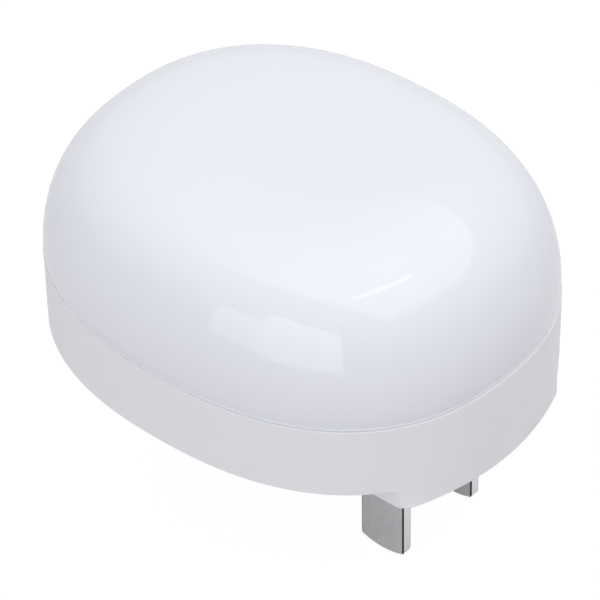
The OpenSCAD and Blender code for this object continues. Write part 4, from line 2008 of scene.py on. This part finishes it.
@dataclass
class InnerParts:
    """The driver's parts, the board and the sensor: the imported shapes, with some edges broken."""

    strip: float = mm(0.5)
    same_point: float = mm(0.002)
    crease: float = 50.0
    black: Colour = (0.035, 0.035, 0.04)
    edges: dict[str, float] = field(
        default_factory=lambda: {
            "blade_clamp": mm(0.2),
            "film_capacitor": mm(0.35),
            "bridge_rectifier": mm(0.12),
            "zener_diode": mm(0.06),
            "sensor_transistor": mm(0.06),
            "chip_resistors": mm(0.05),
            "led_cases": mm(0.06),
            "led_board": mm(0.08),
        }
    )

    def plain_finishes(self) -> dict[str, bpy.types.Material]:
        """The materials of the nodes that are alike all over.

        Returns:
            The materials by node.
        """
        screw = Metal(
            "zinc_screw", (0.58, 0.59, 0.61), roughness=0.3, stain=0.1, stain_size=mm(1.0)
        )
        clamp = Plastic("clamp_plastic", (0.8, 0.8, 0.79), roughness=0.5, grain_size=mm(0.1))
        led = Plastic("led_white", (0.88, 0.88, 0.86), roughness=0.4, mottle_size=mm(1.0))
        film = Plastic(
            "film_case", (0.74, 0.58, 0.12), roughness=0.28, mottle=0.05, mottle_size=mm(2.5)
        )
        chip = Plastic("chip_glaze", self.black, roughness=0.3, mottle=0.3, mottle_size=mm(0.5))
        shroud = Plastic("shroud_black", (0.03, 0.03, 0.032), roughness=0.5)
        lead = Metal("tinned_lead", (0.76, 0.77, 0.78), roughness=0.25)
        solder = Metal(
            "solder_alloy",
            (0.7, 0.71, 0.73),
            roughness=0.2,
            grain_stretch=1.0,
            grain_size=mm(0.3),
        )
        steel = screw.make()
        return {
            "blade_clamp": clamp.make(),
            "clamp_screws": steel,
            "board_screws": steel,
            "led_cases": led.make(),
            "led_phosphors": Phosphor("led_phosphor", (0.92, 0.78, 0.26)).make(),
            "film_capacitor": film.make(),
            "chip_resistors": chip.make(),
            "light_sensor": ClearResin("sensor_resin", (0.86, 0.92, 0.97)).make(),
            "sensor_shroud": shroud.make(),
            "sensor_window": ClearResin("window_clear", (0.95, 0.96, 0.97)).make(),
            "component_leads": lead.make(),
            "solder_joints": solder.make(),
        }

    def placed_finishes(self) -> dict[str, bpy.types.Material]:
        """The materials of the nodes that change from place to place.

        Returns:
            The materials by node.
        """
        band_black = (0.02, 0.02, 0.02)
        brown = (0.16, 0.06, 0.02)
        gold = (0.55, 0.38, 0.1)
        red = (0.45, 0.03, 0.02)
        yellow = (0.75, 0.55, 0.05)
        board_low, board_high = box_of("led_board")
        stripped = (
            board_low.z - self.strip,
            box_of("blade_right")[1].x - Blade.thickness - self.strip,
        )
        packages = {
            "bridge_rectifier": "bridge_epoxy",
            "zener_diode": "zener_epoxy",
            "sensor_transistor": "transistor_epoxy",
        }
        wires = {
            "live_wire": ("live_insulation", (0.03, 0.03, 0.032)),
            "neutral_wire": ("neutral_insulation", (0.8, 0.8, 0.8)),
        }
        board = Laminate(
            "white_board",
            mask=(0.87, 0.87, 0.86),
            edge=(0.55, 0.5, 0.32),
            middle_y=middle_of((board_low, board_high))[1],
            levels=(board_low.z, board_high.z),
        )
        fuse = BandedCoat(
            "fuse_coat",
            coat=(0.22, 0.4, 0.32),
            bands=(brown, band_black, gold, band_black),
            along=Axis.X,
            middle=middle_of(box_of("fuse_resistor"))[0],
            pitch=mm(1.3),
            width=mm(0.6),
        )
        bleed = BandedCoat(
            "bleed_coat",
            coat=(0.72, 0.58, 0.38),
            bands=(brown, band_black, yellow, red),
            along=Axis.Y,
            middle=middle_of(box_of("bleed_resistor"))[1],
            pitch=mm(1.0),
            width=mm(0.45),
        )
        can = Sleeve("can_sleeve", (0.08, 0.09, 0.16), box_of("smoothing_capacitor"))
        found = {
            "led_board": board,
            "fuse_resistor": fuse,
            "bleed_resistor": bleed,
            "smoothing_capacitor": can,
        }
        for node, name in packages.items():
            found[node] = Package(name, self.black, box_of(node))
        for node, (name, colour) in wires.items():
            found[node] = Insulation(name, colour, *stripped)
        return {node: finish.make() for node, finish in found.items()}

    def soften(self, piece: bpy.types.Object, width: float) -> None:
        """Breaks a node's sharp edges.

        Args:
            piece: The node's object.
            width: The bevel's width.
        """
        bevel = piece.modifiers.new("edges", "BEVEL")
        bevel.affect = "EDGES"
        bevel.width = width
        bevel.segments = 2
        bevel.profile = 0.5
        bevel.material = -1
        bevel.limit_method = "ANGLE"
        bevel.angle_limit = math.radians(self.crease)
        bevel.use_clamp_overlap = True

    def build(self) -> None:
        """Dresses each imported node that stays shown."""
        for node, material in (self.plain_finishes() | self.placed_finishes()).items():
            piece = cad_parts[node]
            piece.data.materials.clear()
            piece.data.materials.append(material)
            weld = piece.modifiers.new("weld", "WELD")
            weld.merge_threshold = self.same_point
            if node in self.edges:
                self.soften(piece, self.edges[node])
            LOG.info("node %s dressed in %s", node, material.name)


def main() -> None:
    """Builds the studio and the night light, piece by piece."""
    logging.basicConfig(level=logging.INFO, format="%(name)s: %(message)s")
    Studio().build()
    opal = Plastic(
        "opal_plastic",
        (0.845, 0.87, 0.937),
        roughness=0.02,
        mottle=0.006,
        mottle_size=mm(16.0),
        grain_size=mm(6.0),
        grain_depth=mm(0.001),
        glow=0.15,
        ior=1.585,
        # painted shade: the dome's lower sides get a pinker tint for the hue of their shade
        low_shade_colour=(0.851, 0.856, 0.935),
        low_shade_levels=(mm(17.0), mm(25.0)),
    )
    finish_piece(Diffuser().build(), opal.make(), Body.COVER, ["diffuser"])
    housing = Plastic("housing_plastic", (0.895, 0.905, 0.94), roughness=0.42)
    finish_piece(BaseHousing().build(), housing.make(), Body.BASE, ["base_housing"])
    low, high = box_of("blade_right")
    plate = PlatedBlade(
        "nickel_plate",
        (0.69, 0.69, 0.7),
        corner=((high.x - low.x) / 2, Blade.width / 2),
        middle=middle_of((low, high))[0],
    )
    nickel = plate.make()
    for node in ("blade_left", "blade_right"):
        finish_piece(Blade(node).build(), nickel, Body.BASE, [node])
    InnerParts().build()


if __name__ == "__main__":
    main()
